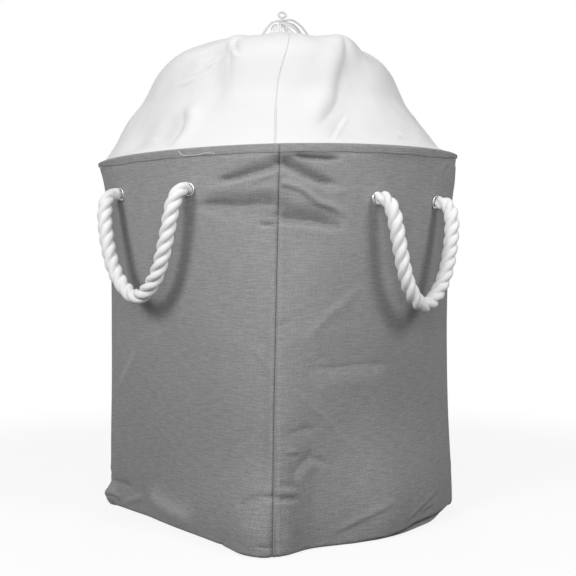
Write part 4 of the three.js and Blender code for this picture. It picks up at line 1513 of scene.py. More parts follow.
@dataclass
class RopeHandles:
    """Four handles of three-strand rope, each from a knot inside through an eyelet and back.

    lead holds the rope's places straight out from an eyelet, in millimetres. strand_middle and
    strand_radius place the three strands, as shares of the rope's width. The rope is squeezed to
    hole inside squeeze, counted out from the eyelet.
    """

    rope: float = 20 * MM
    neck: float = 18 * MM
    neck_length: float = 22 * MM
    drop: float = 134 * MM
    lay: float = 50 * MM
    hole: float = 11 * MM
    squeeze: tuple[float, float] = (1.9 * MM, 4.6 * MM)
    knot: float = 25 * MM
    knot_place: float = 19 * MM
    knot_reach: float = 9 * MM
    strand_middle: float = 0.205
    strand_radius: float = 0.295
    lead: tuple[float, ...] = (-34, -25, -16, -9, -3, 3, 9)
    sides: int = 36
    step: float = 1.3 * MM

    def strands(self) -> tuple[Array, Array, Array]:
        """Outline of three strands packed round a middle: angle, reach and place on a strand."""
        third = math.tau / 3
        angle = np.linspace(0, math.tau, self.sides, endpoint=False)
        local = angle % third - third / 2
        middle, strand = self.strand_middle * self.rope, self.strand_radius * self.rope
        reach = middle * np.cos(local) + np.sqrt(strand**2 - (middle * np.sin(local)) ** 2)
        out = np.column_stack([reach * np.cos(local) - middle, reach * np.sin(local)])
        return angle, reach / (self.rope / 2), unit(out)

    def centreline(self, side: Side) -> tuple[Array, tuple[int, int]]:
        """The rope's whole line, and where on it the two pivots are."""
        first, second = (Seat.of(side, s) for s in side.shares)
        ends = (second, first) if side.way > 0 else (first, second)
        start, end = (seat.out(ROPE_PIVOT) for seat in ends)
        along = unit(end - start)
        out = unit(np.cross(UP, along))
        rise = np.cross(along, out)
        half, middle = np.linalg.norm(end - start) / 2, (start + end) / 2
        hang = [(-a, o, d) for a, o, d in HANDLE_SHARES[:-1]]
        hang += [(a, o, d) for a, o, d in HANDLE_SHARES[::-1]]
        loop = [middle + along * a * half + (out * o - rise * d) * self.drop for a, o, d in hang]
        lead = [ends[0].out(d * MM) for d in self.lead]
        tail = [ends[1].out(d * MM) for d in self.lead[::-1]]
        path = route([*lead, *loop, *tail], Bend.NATURAL, self.step)
        at = tuple(int(np.argmin(np.linalg.norm(path - p, axis=1))) for p in (start, end))
        return path, at

    def radii(self, run: Array, at: tuple[int, int]) -> Array:
        """The rope's radius along its line: knot, squeezed in the eyelet, neck, full."""
        from_pivot = np.minimum(run - run[at[0]], run[at[1]] - run)
        full = lerp(self.neck, self.rope, ease(0, self.neck_length, from_pivot)) / 2
        from_eyelet = from_pivot + ROPE_PIVOT
        squeezed = lerp(self.hole, self.neck, ease(*self.squeeze, from_eyelet)) / 2
        swollen = np.exp(-(((from_eyelet + self.knot_place) / self.knot_reach) ** 4))
        knotted = lerp(self.hole, self.knot, swollen) / 2
        return np.maximum(np.where(from_pivot < 0, squeezed, full), knotted)

    def handle(self, side: Side) -> None:
        """Make one handle with its two knotted ends."""
        path, (first, last) = self.centreline(side)
        run = run_along(path)
        angle, outline, on_strand = self.strands()
        twist = angle[None] + (math.tau / self.lay) * run[:, None]
        even_run = np.linspace(0, run[-1], len(run))
        reach = self.radii(even_run, (first, last))[:, None] * outline[None]
        sections = reach[..., None] * np.stack([np.cos(twist), np.sin(twist)], axis=-1)
        lay = lay_marks(on_strand, run)
        tube = lambda cut: swept(path[cut], sections[cut], {"lay": lay[cut]})
        name, stubs = side.name, []
        cuts = (slice(0, first + 1), slice(last, None))
        for cut, mark in zip(cuts, ("2", "1") if side.way > 0 else ("1", "2")):
            stub = tube(cut).build(f"knotted_end_{name}_{mark}")
            stubs.append(dressed(stub, ROPE_YARN, "rope", "rim", f"rope_end_{name}_{mark}"))
        made = tube(slice(first, last + 1)).build(f"rope_handle_{name}")
        dressed(made, ROPE_YARN, "rope", f"handle_{name}", f"handle_{name}")

    def build(self) -> None:
        """Make the four handles."""
        for side in SIDES:
            self.handle(side)


KNOT_PLACE = (2, -14.8, 690.5)
DRAWSTRING = {
    "lead": ((-31, -1, 662.5), (-28.5, -3, 668), (-22, -7, 676), (-16, -11, 683.5),
             (-9.5, -13.5, 689), (-3.6, -14.6, 690.5)),
    "top_loop": ((0.5, -15.5, 695.6), (-1.5, -14.5, 699.5), (1.5, -12, 703), (6.5, -10, 703),
                 (9.5, -9.5, 699.5), (7.6, -11, 697.4), (4.2, -12.5, 695.4)),
    "bow": ((7.5, -13.5, 691.5), (16, -11, 693), (27, -6, 688.5), (37, 0, 679), (44, 7, 668.5),
            (49, 16, 661.5), (50, 27, 659.3), (45, 34, 659.4), (39, 30, 659.9), (37, 21, 663),
            (35, 12, 669.5), (30, 5, 678), (21, -3, 686.5), (12.5, -8.5, 688.8),
            (7.3, -12, 689.4)),
    "tail_right": ((6.8, -16.8, 687.2), (14.5, -18.5, 683.5), (24, -15, 677.5), (31, -7, 669),
                   (34, 3, 663), (33.6, 14, 660.8), (33.4, 24, 660.3), (33, 42, 659.7),
                   (31, 62.3, 658.2), (28, 82.3, 655.9), (26, 100.7, 652.7), (25, 116.7, 648),
                   (25.3, 131.6, 642.2), (26, 142, 634.2), (26.4, 149.9, 626.6),
                   (27.2, 156.8, 612), (29, 161.2, 599)),
    "tail_left": ((4.8, -20, 686.4), (12, -23.5, 679), (22, -21.5, 668), (28.5, -13, 662),
                  (30.2, -2, 661), (29.8, 8, 660.8), (27.4, 20, 660.5), (20, 34.1, 660.3),
                  (14, 56.1, 659.4), (9, 77.3, 657.1), (5, 97.3, 654.4), (3, 114.7, 649.6),
                  (2, 130.3, 644.2), (1.5, 143, 636), (1, 152.9, 625.6), (0.5, 158.8, 610.8),
                  (-1, 162, 596), (-3, 165.2, 581), (-7, 170, 568)),
}


def from_bow(points: Sequence[Sequence[float]]) -> Array:
    """Points of the drawstring's own frame, in millimetres, as metres in the part's frame."""
    along, across, up = np.array(points, float).T * MM
    return np.column_stack([(along - across) * DIAGONAL, (along + across) * DIAGONAL, up])


@dataclass
class Drawstring:
    """The cord that closes the collar: its knot, loops, bow and two tails."""

    cord: float = 3 * MM
    knot: float = 10 * MM
    knot_turn: float = 0.6
    tip: float = 8 * MM
    tip_turn: float = 1.1
    sides: int = 12
    step: float = 0.9 * MM

    def tube(self, path: Array) -> Shape:
        """Round braided cord along a line."""
        lay = lay_marks(circle(self.sides), run_along(path))
        return round_tube(path, self.cord, self.sides, {"lay": lay})

    def tied(self, middle: Array, size: float, turn: float) -> Shape:
        """A pulled-tight knot about a middle, its line a trefoil."""
        t = np.linspace(0, math.tau, 90, endpoint=False)
        lobe = 2 + np.cos(3 * t)
        wide = np.stack([lobe * np.cos(2 * t), lobe * np.sin(2 * t), 1.15 * np.sin(3 * t)], axis=-1)
        loop = wide * (size - self.cord) / 2 / 3
        spin = np.array(Matrix.Rotation(turn, 3, "X") @ Matrix.Rotation(turn * 1.7, 3, "Z"))
        path = middle + loop @ spin.T
        return self.tube(np.vstack([path, path[:1]]))

    def tied_tip(self, path: Array, hand: str) -> bpy.types.Object:
        """The knot that ends a tail."""
        middle = path[-1] + unit(path[-1] - path[-4]) * self.tip / 2
        made = self.tied(middle, self.tip, self.tip_turn).build(f"tied_tip_{hand}")
        return dressed(made, CORD_YARN, "drawstring", "rim", f"tail_knot_{hand}")

    def build(self) -> None:
        """Make the drawstring's pieces."""
        knot = self.tied(from_bow([KNOT_PLACE])[0], self.knot, self.knot_turn).build("tied_knot")
        beside = {"lead": dressed(knot, CORD_YARN, "drawstring", "rim", "drawstring_knot")}
        for name, points in DRAWSTRING.items():
            path = route(from_bow(points), Bend.NATURAL, self.step)
            made = self.tube(path).build(f"cord_{name}")
            dressed(made, CORD_YARN, "drawstring", "rim", f"drawstring_{name}")
            if name == "top_loop":
                beside["bow"] = made
                continue
            tail = name.startswith("tail")
            piece = self.tied_tip(path, name.split("_")[1]) if tail else beside[name]


# Collar


COLLAR_SHARES = (
    (1, 0), (0.937, 0.12), (0.881, 0.229), (0.817, 0.349), (0.766, 0.452), (0.734, 0.548),
    (0.706, 0.639), (0.671, 0.735), (0.615, 0.825), (0.524, 0.904), (0.397, 0.958),
    (0.246, 0.988), (0.119, 0.997), (0.0496, 1),
)


@dataclass(frozen=True)
class Swell:
    """A soft rise or dip of cloth: its place, its height and how far it spreads, in mm."""

    across: float
    up: float
    height: float
    spread: float

    def press(self, points: Array, middle: Array) -> Array:
        """How far it moves each point outwards."""
        away = np.linalg.norm(points - middle, axis=1) / MM
        return self.height * MM * bell(away, self.spread)


COLLAR_CRUMPLES = (
    Crumple(60 * MM, 2.2 * MM, step=41, across=0.2, up=0.25),
    Crumple(22 * MM, 0.7 * MM, step=43, across=0.2, up=0.25),
)


@dataclass(frozen=True)
class CollarSurface:
    """The collar as it stands: a drawn-in dome of four gores, twisted a little by the cord.

    Pleats of pleat_height, as many round the dome as pleats says, spread from the middle and die
    out over pleat_reach. lobes holds the count, start and weight of the broad waves below them.
    The cloth is sunk below the smooth dome, more so where a cord or the tuft lies on it.
    """

    rise: float = 166 * MM
    reach: float = 252 * MM
    behind: float = 5.8 * MM
    aside: float = 4 * MM
    twist: Pairs = ((0, -0.035), (0.25, -0.03), (0.5, 0.01), (0.65, 0.05), (0.9, 0.13), (1, 0.17))
    folds: tuple[Fold, ...] = ()
    swells: tuple[Swell, ...] = ()
    pleats: tuple[int, ...] = (9, 13, 17, 22, 29)
    pleat_height: float = 1.35 * MM
    pleat_reach: tuple[float, float] = (22 * MM, 132 * MM)
    lobes: tuple[tuple[int, float, float], ...] = ((5, 1.1, 1.0), (8, 2.6, 0.7))
    lobe_height: float = 1.3 * MM
    sunk: float = 0.6 * MM
    sunk_under: float = 0.5 * MM
    seam: float = 0.3 * MM
    seam_width: float = 1.2 * MM
    tuft_reach: tuple[float, float] = (28 * MM, 36 * MM)
    cord_reach: tuple[float, float] = (8 * MM, 16 * MM)

    def profile(self, up: Array) -> tuple[Array, Array]:
        """Shares of reach and rise at shares up the gore, by its own length."""
        if "profile" not in _COLLAR:
            pairs = [(r * self.reach, z * self.rise) for r, z in COLLAR_SHARES]
            _COLLAR["profile"] = route(pairs, Bend.NATURAL, 0.5 * MM)
        line = _COLLAR["profile"]
        place = np.linspace(0, 1, len(line))
        reach = np.interp(up, place, line[:, 0]) / self.reach
        return reach, np.interp(up, place, line[:, 1]) / self.rise

    def rest(self, turn: Array, up: Array) -> Array:
        """A point of the smooth dome; up below 0 is metres down the skirt in the hem."""
        turn, up = np.broadcast_arrays(turn, up)
        reach, rise = self.profile(np.maximum(up, 0))
        short = (FORM.rim_short - self.behind) / self.reach
        squash = lerp(short, 1, rise**2)
        fullness = lerp(FORM.rim_fullness, 2.0, rise)
        long = self.reach * reach
        swung = turn + table(self.twist, rise)
        x, y = FORM.plan(swung, long, long * squash, fullness)
        away = self.aside * ease(0.1, 0.6, rise) * (1 - ease(0.93, 1, rise)) * DIAGONAL
        height = FORM.rim_height + self.rise * rise
        dome = np.stack([x - away, y - away, height], axis=-1)
        skirt = FORM.point(swung, FORM.rim_height + np.minimum(up, 0), self.behind)
        return np.where((up < 0)[..., None], skirt, dome)

    def facing(self, turn: Array, up: Array) -> Array:
        """Outward direction of the dome."""
        aside, step = 0.004, 0.006
        around = self.rest(turn + aside, up) - self.rest(turn - aside, up)
        high, low = np.clip(up + step, 0.001, 0.999), np.clip(up - step, 0, 0.99)
        return unit(np.cross(around, self.rest(turn, high) - self.rest(turn, low)))

    def gathered(self, turn: Array, up: Array, away: Array) -> Array:
        """How far pleats and broad waves move the cloth, away being from the middle."""
        start, end = self.pleat_reach
        seeded = np.random.default_rng(8)
        ripple = np.zeros(len(turn))
        for count in self.pleats:
            ripple += np.cos(count * turn + seeded.uniform(0, math.tau)) * seeded.uniform(0.5, 1)
        fan = ripple * self.pleat_height * np.clip((end - away) / (end - start), 0, 1) ** 1.25
        waves = sum(weight * np.cos(count * turn + first) for count, first, weight in self.lobes)
        return fan + waves * self.lobe_height * ease(0.15, 0.5, up) * (1 - ease(0.8, 1, up))

    def offset(self, turn: Array, up: Array) -> tuple[Array, Array]:
        """How far the cloth stands off the dome, and how much of that is folding."""
        points, normals = self.rest(turn, up), self.facing(turn, up)
        press = np.zeros(len(points))
        for fold in self.folds:
            across, rise = fold.drawn(0.05).T
            press += fold.press(points, normals, self.rest(across * QUARTER, rise))
        shaped = np.zeros(len(points))
        for swell in self.swells:
            middle = self.rest(np.array([swell.across * QUARTER]), np.array([swell.up]))[0]
            shaped += swell.press(points, middle)
        away = np.linalg.norm(points[:, :2], axis=1)
        crumple = sum(layer.press(turn, up) for layer in COLLAR_CRUMPLES)
        crumple *= ease(0.0, 0.1, up) * (1 - 0.5 * ease(0.85, 1, up))
        off = press + shaped + self.gathered(turn, up, away) + crumple - self.sunk
        off = lerp(off, np.minimum(off, -self.sunk_under), self.covered(points))
        edge = np.abs((turn / QUARTER + 0.5) % 1 - 0.5) * QUARTER * np.maximum(away, 20 * MM)
        off -= self.seam * bell(edge, self.seam_width)
        return np.where(up < 0, 0.0, off * ease(-0.001, 0.05, up)), press

    def covered(self, points: Array) -> Array:
        """1 where a cord or the gathered tuft lies on the cloth, falling to 0 beside it."""
        near = 1 - ease(*self.tuft_reach, np.linalg.norm(points[:, :2], axis=1))
        for name in ("bow", "tail_right", "tail_left", "lead"):
            line = route(from_bow(DRAWSTRING[name]), Bend.NATURAL, 4 * MM)
            away = np.linalg.norm(points[:, None] - line[None], axis=2).min(axis=1)
            near = np.maximum(near, 1 - ease(*self.cord_reach, away))
        return near

    def surface(self, turn: Array, up: Array) -> Array:
        """Points of the standing collar."""
        off, _ = self.offset(turn, up)
        return FORM.lean(self.rest(turn, up) + self.facing(turn, up) * off[:, None])


_COLLAR: dict[str, Array] = {}

# Places on the collar are quarter turns from the pointed corner at the back right, and shares up.
COLLAR_FOLDS = (
    Fold(((3.39, 0.68), (3.335, 0.5), (3.3, 0.38), (3.265, 0.235), (3.15, 0.062)),
         4.5, 20, -4, 24, 24, (0.2, 0.2), 7),
    Fold(((3.39, 0.68), (3.335, 0.5), (3.3, 0.38), (3.265, 0.235), (3.15, 0.062)),
         0, 3, 2.2, -17, 17, (0.2, 0.2)),
    Fold(((3.308, 0.19), (3.206, 0.015)), 1.7, 3, 1.2, 4.5, 3, (0.3, 0.2)),
    Fold(((2.578, 0.24), (2.622, 0.138), (2.594, 0.02)), 4, 6, -5, -18, 18, (0.35, 0.1)),
    Fold(((2.578, 0.24), (2.622, 0.138), (2.594, 0.02)), 0, 6, 3.5, 15, 13, (0.35, 0.1)),
    Fold(((2.436, 0.326), (2.594, 0.375), (2.647, 0.531)), 1.2, 3.2, 1.5, 5, 3, (0.3, 0.3)),
    Fold(((2.328, 0.459), (2.539, 0.516)), 1.2, 3, 1.3, 5, 3, (0.3, 0.3)),
    Fold(((2.5, 0.36), (2.62, 0.42), (2.68, 0.52)), 1.0, 3, 1.2, 5, 3, (0.3, 0.3)),
    Fold(((2.622, 0.63), (2.725, 0.434), (2.783, 0.291), (2.8, 0.1)),
         0, 9, -5, -20, 19, (0.15, 0.4)),
    Fold(((2.622, 0.63), (2.725, 0.434), (2.783, 0.291)), 1.6, 3.2, 0, 0, 9, (0.2, 0.6)),
    Fold(((2.642, 0.62), (2.733, 0.496), (2.797, 0.472)), 3, 3, 2.5, -6, 4.5, (0.1, 0.4)),
    Fold(((3.483, 0.06), (3.594, 0.01)), 3, 4, 1.5, 6, 4, (0.3, 0.2)),
    Fold(((0.35, 0.6), (0.4, 0.4), (0.3, 0.15)), 3, 4, -5, 16, 16, (0.3, 0.3)),
    Fold(((0.75, 0.66), (0.7, 0.4), (0.78, 0.1)), 3, 5, 4, -15, 12, (0.3, 0.3)),
    Fold(((1.3, 0.63), (1.36, 0.36), (1.28, 0.06)), 3, 4, -5, 16, 15, (0.3, 0.2)),
    Fold(((1.7, 0.6), (1.62, 0.4), (1.7, 0.2)), 3, 5, 3, -14, 10, (0.3, 0.3)),
)
COLLAR_SWELLS = (
    Swell(2.608, 0.66, 5, 16), Swell(3.41, 0.6, 14, 25), Swell(2.31, 0.63, -4, 34),
    Swell(2.4, 0.1, -7, 26), Swell(2.1, 0.52, -4, 35), Swell(2.11, 0.22, 6, 32),
    Swell(3.64, 0.56, -5, 40),
    Swell(3.82, 0.4, -9, 40), Swell(3.87, 0.22, -9, 38), Swell(3.89, 0.06, -15, 42),
    Swell(0.5, 0.5, 4, 45), Swell(1.5, 0.45, 5, 45), Swell(1.05, 0.35, -4, 40),
)
COLLAR = CollarSurface(folds=COLLAR_FOLDS, swells=COLLAR_SWELLS)


@dataclass
class CollarGores:
    """The four gores of the white collar.

    skirt holds the rows inside the hem, in millimetres from the rim. slack and largest are not
    used.
    """

    cloth: float = 0.9 * MM
    columns: int = 150
    rows: int = 165
    top: float = 0.985
    skirt: tuple[float, ...] = (-15, -10, -5, -1)
    size: tuple[float, float] = (0.35, 0.26)
    slack: float = 0.8
    largest: float = 0.088

    def build(self) -> None:
        """Make the gores."""
        shares = np.linspace(0, 1, self.columns)
        ups = np.concatenate([np.array(self.skirt) * MM, np.linspace(0, self.top, self.rows)])
        share, up = (values.ravel() for values in np.meshgrid(shares, ups))
        for side in SIDES:
            turn = (side.quarter + share) * QUARTER
            points = COLLAR.surface(turn, up)
            _, press = COLLAR.offset(turn, up)
            cloth = np.column_stack([share, up]) * self.size
            # The fold depth, kept for the painted shade and highlight of the finish.
            shape = Shape(points, grid_faces(len(ups), len(shares)), cloth,
                          {"press": press / FULL_PRESS})
            made = thickened(shape.build(f"collar_gore_{side.name}"), self.cloth)
            dressed(made, COLLAR_CLOTH, "collar_cloth", "rim", f"collar_{side.name}")


@dataclass
class GatheredTuft:
    """The channel's cloth, drawn into pleats round the cord.

    outline and lip hold (reach, height) pairs in millimetres: up the outside, and over the lip
    down the inside. A pleat's depth is a share of the reach.
    """

    low: float = 659.3 * MM
    top: float = 687.2 * MM
    cloth: float = 0.9 * MM
    pleats: int = 15
    columns: int = 300
    lean: float = 1.2 * MM
    crown: float = 0.54 * MM
    outline: Pairs = ((27.6, 0.2), (27.6, 1.6), (26.6, 4.2), (23.5, 7.2), (19.2, 10.8),
                      (16.2, 15), (14, 19), (12.2, 23), (10.8, 26.4), (9.6, 27.7))
    lip: Pairs = ((8.4, 27.9), (7.5, 27.4), (6.9, 25.5), (6.6, 20), (6.6, 10), (6.6, 1))

    def ripple(self, turn: Array) -> Array:
        """The pleats' wave round the tuft, about -1 to 1, flattened at its tops."""
        seeded = np.random.default_rng(5)
        wave = np.zeros(len(turn))
        for count, size in ((self.pleats, 1.0), (self.pleats + 4, 0.7), (2 * self.pleats - 3, 0.4)):
            wave += size * np.cos(count * turn + seeded.uniform(0, math.tau))
        return np.sign(wave) * np.abs(wave / 2.1) ** 0.8

    def build(self) -> None:
        """Make the tuft: pleated outside, over the lip and down the bore."""
        outer = route(self.outline, Bend.NATURAL, 0.9)
        reach, height = np.vstack([outer, self.lip]).T[..., None] * MM
        rows, inside = len(reach), len(outer)
        turn = np.linspace(0, math.tau, self.columns, endpoint=False)
        ripple = self.ripple(turn)
        depth = np.interp(np.arange(rows), [0, 3, inside * 0.5, inside, rows],
                          [0.02, 0.05, 0.13, 0.12, 0.05])[:, None]
        reach = reach * (1 + depth * (ripple - 0.45))
        lean = self.lean * ease(8 * MM, 28 * MM, height)
        crown = self.crown * ripple * ease(18 * MM, 27 * MM, height)
        up = np.minimum(self.low + height + crown, self.top)
        points = np.stack([reach * np.cos(turn) + lean, reach * np.sin(turn) - lean, up], axis=-1)
        cloth = np.stack(np.meshgrid(turn * 30 * MM, np.arange(rows) * 0.9 * MM), axis=-1)
        # Darker in the pleats, most in their valleys: painted shade.
        press = np.tile(np.clip(ripple * 0.5 - 0.3, -1, 1), rows)
        shape = Shape(points.reshape(-1, 3), grid_faces(rows, self.columns, closed=True),
                      cloth.reshape(-1, 2), {"press": press})
        made = thickened(shape.build("gathered_tuft"), self.cloth)
        dressed(made, COLLAR_CLOTH, "collar_cloth", "rim", "collar_casing")


# Repeated small pieces


@dataclass(frozen=True)
class Stamp:
    """A node group that sets one small shape on every marked point.

    spread is how much the copies' size varies, as a share, and seed chooses how.
    """

    spread: float = 0.06
    seed: int = 4

    def tree(self) -> bpy.types.NodeTree:
        """The node group, wired at its first use."""
        made = bpy.data.node_groups.get("stamp")
        if made is not None:
            return made
        made = bpy.data.node_groups.new("stamp", "GeometryNodeTree")
        face = made.interface
        for name, kind in (("Geometry", "Geometry"), ("Shape", "Object"), ("Size", "Float"),
                           ("Spread", "Float"), ("Finish", "Material")):
            face.new_socket(name, in_out="INPUT", socket_type=f"NodeSocket{kind}")
        face.new_socket("Geometry", in_out="OUTPUT", socket_type="NodeSocketGeometry")
        board = Board(made)
        given = made.nodes.new("NodeGroupInput")
        wire = lambda name: Wire(board, given.outputs[name])
        vector = {"data_type": "FLOAT_VECTOR"}
        facing = board.node("GeometryNodeInputNamedAttribute", vector, {"Name": "facing"})
        heading = board.node("GeometryNodeInputNamedAttribute", vector, {"Name": "heading"})
        stood = board.node("FunctionNodeAlignRotationToVector", {"axis": "Z"}, {"Vector": facing})
        turned = board.node(
            "FunctionNodeAlignRotationToVector",
            {"axis": "X", "pivot_axis": "Z"},
            {"Rotation": stood, "Vector": heading},
        )
        spread = wire("Spread")
        chance = board.node(
            "FunctionNodeRandomValue",
            {"data_type": "FLOAT"},
            {2: 1 - spread, 3: 1 + spread, "Seed": self.seed},
            1,
        )
        shape = board.node("GeometryNodeObjectInfo", {}, {"Object": wire("Shape")}, "Geometry")
        placed = board.node(
            "GeometryNodeInstanceOnPoints",
            {},
            {"Points": wire("Geometry"), "Instance": shape, "Rotation": turned,
             "Scale": chance * wire("Size")},
        )
        real = board.node("GeometryNodeRealizeInstances", {}, {0: placed})
        painted = board.node(
            "GeometryNodeSetMaterial", {}, {"Geometry": real, "Material": wire("Finish")}
        )
        board.node("NodeGroupOutput", {}, {0: painted})
        return made

    def apply(
        self, name: str, shape: Shape, points: Array, facing: Array, heading: Array,
        finish: Finish,
    ) -> bpy.types.Object:
        """Set copies of a shape on points.

        Args:
            name: the new piece's name.
            shape: the small shape, Z facing out and X along its heading.
            points: where the copies go.
            facing: the outward direction at each point.
            heading: the direction along the row at each point.
            finish: the copies' finish.

        Returns:
            All the copies as one plain mesh.
        """
        made = Shape(points, [], None, {"facing": facing, "heading": heading}).build(name)
        pattern = shape.build(f"{name}_pattern")
        tool = made.modifiers.new("Stamp", "NODES")
        tool.node_group = self.tree()
        wanted = {"Shape": pattern, "Size": 1.0, "Finish": finish.material(),
                  "Spread": self.spread}
        for item in tool.node_group.interface.items_tree:
            if item.in_out == "INPUT" and item.name in wanted:
                tool[item.identifier] = wanted[item.name]
        settled(made)
        old = pattern.data
        bpy.data.objects.remove(pattern)
        bpy.data.meshes.remove(old)
        for attribute in ("facing", "heading"):
            if attribute in made.data.attributes:
                made.data.attributes.remove(made.data.attributes[attribute])
        return made


@dataclass
class Eyelets:
    """Two-part plated eyelets, their rolled flanges outside the cloth."""

    ring: Pairs = ((5.9, -4.0), (5.9, -1), (5.95, 0.6), (6.25, 1.45), (6.9, 1.9), (7.7, 1.8),
                   (8.4, 1.35), (8.8, 0.7), (8.7, 0.35), (8.0, 0.3), (6.9, 0.4), (6.7, 0),
                   (6.7, -3.6), (7.4, -3.9), (8.1, -4.1), (8.2, -4.5), (7.7, -4.75),
                   (6.8, -4.7), (6.2, -4.4))
    steps: int = 48

    def shape(self) -> Shape:
        """One eyelet, turned about Z."""
        loop = np.array([*self.ring, self.ring[0]])
        fine = route(loop, Bend.NATURAL, 0.3)[:-1] * MM
        around = fine[None, :, :1] * circle(self.steps)[:, None]
        height = np.broadcast_to(fine[None, :, 1:], (self.steps, len(fine), 1))
        points = np.concatenate([around, height], axis=2).reshape(-1, 3)
        return Shape(points, ring_faces(self.steps, len(fine)))

    def build(self) -> None:
        """Make all eight eyelets as one piece."""
        seats = [Seat.of(side, share) for side in SIDES for share in side.shares]
        nodes = [f"eyelet_{side.name}_{i}" for side in SIDES for i in (1, 2)]
        points, normals = (np.array([getattr(seat, k) for seat in seats])
                           for k in ("point", "normal"))
        heading = np.tile(UP, (len(seats), 1))
        made = Stamp(spread=0.0).apply("plated_eyelets", self.shape(), points, normals, heading,
                                       PLATED)
        dressed(made, PLATED, "eyelet_metal", "rim", *nodes)


Row = tuple[Array, Array]


@dataclass
class Stitching:
    """Rows of machine stitches on the hem, the corner seams and the collar seams.

    loose holds a loose end's shares across the front hem, and its heights in millimetres.
    """

    stitch: float = 2.5 * MM
    pitch: float = 3.3 * MM
    thread: float = 0.75 * MM
    sunk: float = 0.15 * MM
    corner: tuple[float, float] = (6 * MM, 476 * MM)
    collar: tuple[float, float] = (0.015, 0.2)
    collar_aside: float = 0.012
    loose: Pairs = ((0.633, 489.7), (0.647, 484.6), (0.677, 483.4), (0.717, 483.2),
                    (0.743, 484.8), (0.773, 483.1))
    loose_width: float = 0.9 * MM
    loose_gap: float = 0.35 * MM

    def shape(self) -> Shape:
        """One stitch: a short thread that dips into the cloth at both ends."""
        place = np.linspace(-0.5, 0.5, 7)
        height = (0.3 - 1.6 * place**2) * self.thread
        path = np.column_stack([place * self.stitch, np.zeros(len(place)), height])
        return round_tube(path, self.thread, 6, rounded=False)

    def along(self, line: Array, facing: Array) -> tuple[Array, Array, Array]:
        """Stitch places, facings and headings along a line."""
        run = run_along(line)
        place = np.arange(self.pitch / 2, run[-1], self.pitch)
        pick = lambda values: np.column_stack([np.interp(place, run, v) for v in values.T])
        return pick(line), unit(pick(facing)), unit(pick(np.gradient(line, axis=0)))

    def sewn(
        self, name: str, rows: Sequence[Row], thread: Finish, slot: str, body: str | None
    ) -> None:
        """Sew along several lines, as one piece.

        Args:
            name: the piece's name.
            rows: each line, with the cloth's outward direction along it.
            thread: finish of the thread.
            slot: the material slot's name, handed on to dressed.
            body: the body it rides, or None for a piece that spans two, left unattached.
        """
        found = [self.along(line, facing) for line, facing in rows]
        places, faces, heads = (np.concatenate([row[k] for row in found]) for k in range(3))
        made = Stamp().apply(name, self.shape(), places, faces, heads, thread)
        dressed(made, thread, slot, body)

    def hem_row(self, surface: WallSurface) -> Row:
        """Along the hem's lower edge on one side."""
        hem, share = RimHem(), np.linspace(0.01, 0.99, 200)
        height = hem.lowered(surface, share, np.full(len(share), hem.stitch_height))
        line = surface.surface(share, height, self.sunk - hem.proud, held=True)
        return line, surface.facing(share, height)

    def corner_row(self, surface: WallSurface) -> Row:
        """Up the corner seam where one side starts."""
        height = np.linspace(*self.corner, 300)
        share = np.zeros(len(height))
        return surface.surface(share, height, -self.sunk), surface.facing(share, height)

    def collar_row(self, corner: int) -> Row:
        """Up the lower part of a seam of the collar."""
        up = np.linspace(*self.collar, 120)
        turn = np.full(len(up), corner * QUARTER + self.collar_aside)
        return COLLAR.surface(turn, up), COLLAR.facing(turn, up)

    def build(self) -> None:
        """Make the rows and the loose end."""
        walls = SURFACES.values()
        self.sewn("hem_stitches", [self.hem_row(s) for s in walls], HEM_THREAD, "canvas", "rim")
        self.sewn("corner_stitches", [self.corner_row(s) for s in walls], SEAM_THREAD, "canvas",
                  None)
        self.sewn("collar_stitches", [self.collar_row(k) for k in range(4)], COLLAR_THREAD,
                  "collar_cloth", "rim")
        self.loose_end()

    def loose_end(self) -> None:
        """A loose end of thread that lies on the front hem."""
        share, height = np.array(self.loose).T * [[1], [MM]]
        depth = -RimHem().proud - self.loose_gap
        points = SURFACES["front"].surface(share, height, depth, held=True)
        tube = round_tube(route(points, Bend.NATURAL, 1 * MM), self.loose_width, 6)
        dressed(tube.build("loose_thread"), COLLAR_THREAD, "canvas", "rim")


# The studio


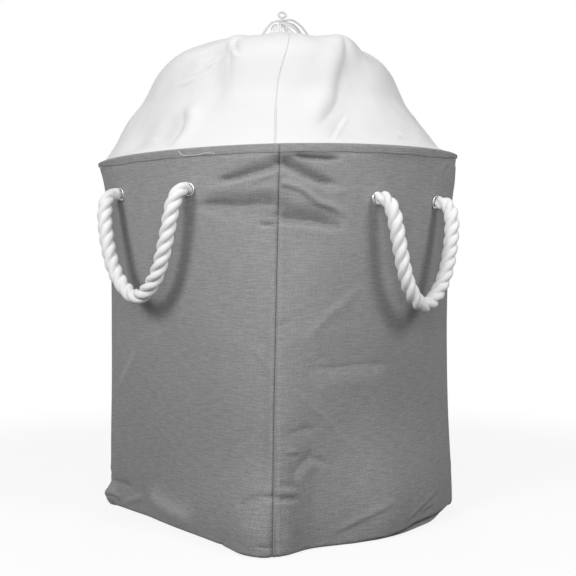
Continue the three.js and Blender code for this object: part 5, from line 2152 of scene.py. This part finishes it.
@dataclass
class Studio:
    """White floor, soft lamps and the camera at the photograph's angle.

    horizon and aside shift the picture, as shares of its width. A lamp has a place, a size and
    a power, and aim is the height they all point at. floor_rings holds radii.
    """

    distance: float = 1.42
    eye: float = 0.345
    lens: float = 61.8
    sensor: float = 36
    horizon: float = 24 / 576
    aside: float = 8.5 / 576
    sky: float = 0.27
    aim: float = 0.33
    floor_rings: tuple[float, ...] = (12.0, 3.0, 1.2, 0.5)
    floor_sides: int = 96
    floor_gap: float = 0.4 * MM

    def camera(self) -> None:
        """Set the camera level, towards the corner seam."""
        data = bpy.data.cameras.new("view")
        data.lens, data.sensor_width = self.lens, self.sensor
        data.shift_x, data.shift_y = self.aside, -self.horizon
        made = linked("view", data)
        reach = self.distance * DIAGONAL
        made.location = (reach, -reach, self.eye)
        made.rotation_euler = (QUARTER, 0, QUARTER / 2)
        bpy.context.scene.camera = made

    def lamp(self, name: str, place: Sequence[float], size: float, power: float) -> None:
        """A soft square lamp aimed at the middle of the bag."""
        data = bpy.data.lights.new(name, "AREA")
        data.size, data.energy = size, power
        made = linked(name, data)
        made.location = place
        away = Vector(place) - Vector((0, 0, self.aim))
        made.rotation_euler = away.to_track_quat("Z", "Y").to_euler()

    def light(self) -> None:
        """Soft lamps beside the camera, near it and behind the bag, and an even sky."""
        self.lamp("lamp_left", (0.2, -2.35, 1.5), 0.7, 29)
        self.lamp("lamp_right", (1.85, 0.18, 1.5), 0.6, 14)
        self.lamp("lamp_front", (1.5, -1.55, 1.0), 1.1, 14)
        self.lamp("lamp_behind", (-1.8, 1.9, 1.3), 1.2, 16)
        world = bpy.data.worlds.new("studio")
        bpy.context.scene.world = world
        world.use_nodes = True
        world.node_tree.nodes.clear()
        board = Board(world.node_tree)
        strength = board.seen() * (1 - self.sky) + self.sky
        sky = board.node("ShaderNodeBackground", {}, {"Color": (1, 1, 1), "Strength": strength})
        board.node("ShaderNodeOutputWorld", {}, {"Surface": sky})

    def floor(self) -> None:
        """A round floor under the bag."""
        rings = [circle(self.floor_sides, radius) for radius in self.floor_rings]
        flat = np.vstack([*rings, [0, 0]])
        points = np.column_stack([flat, np.full(len(flat), -self.floor_gap)])
        faces = disc_faces(len(rings), self.floor_sides)
        made = Shape(points, faces).build("studio_floor")
        made.data.materials.append(StudioFloor("white_floor").material())

    def build(self) -> None:
        """Set the lamps and the floor."""
        self.light()
        self.floor()


def keep_materials(frame: dict[str, Any]) -> None:
    """Give the part's own rigid pieces their finishes."""
    finishes = {"base_board": BOARD, "washer": PLATED, "drawstring_in_channel": CORD_YARN}
    for name, node in frame["nodes"].items():
        for start, finish in finishes.items():
            if name.startswith(start):
                for slot in node.material_slots:
                    slot.material = finish.material()


def main() -> None:
    """Build the hamper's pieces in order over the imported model."""
    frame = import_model()
    bpy.context.scene.view_settings.view_transform = "Standard"
    studio = Studio()
    studio.camera()
    for work in (Drawstring(), RopeHandles(), WallPanels(), BaseCloth(), CornerTapes(), RimHem(),
                 SprungHoop(), CollarGores(), GatheredTuft(), Eyelets(), Stitching(), studio):
        work.build()
        log.info("%s done", type(work).__name__)
    keep_materials(frame)


if __name__ == "__main__":
    logging.basicConfig(level=logging.INFO, format="%(message)s")
    main()
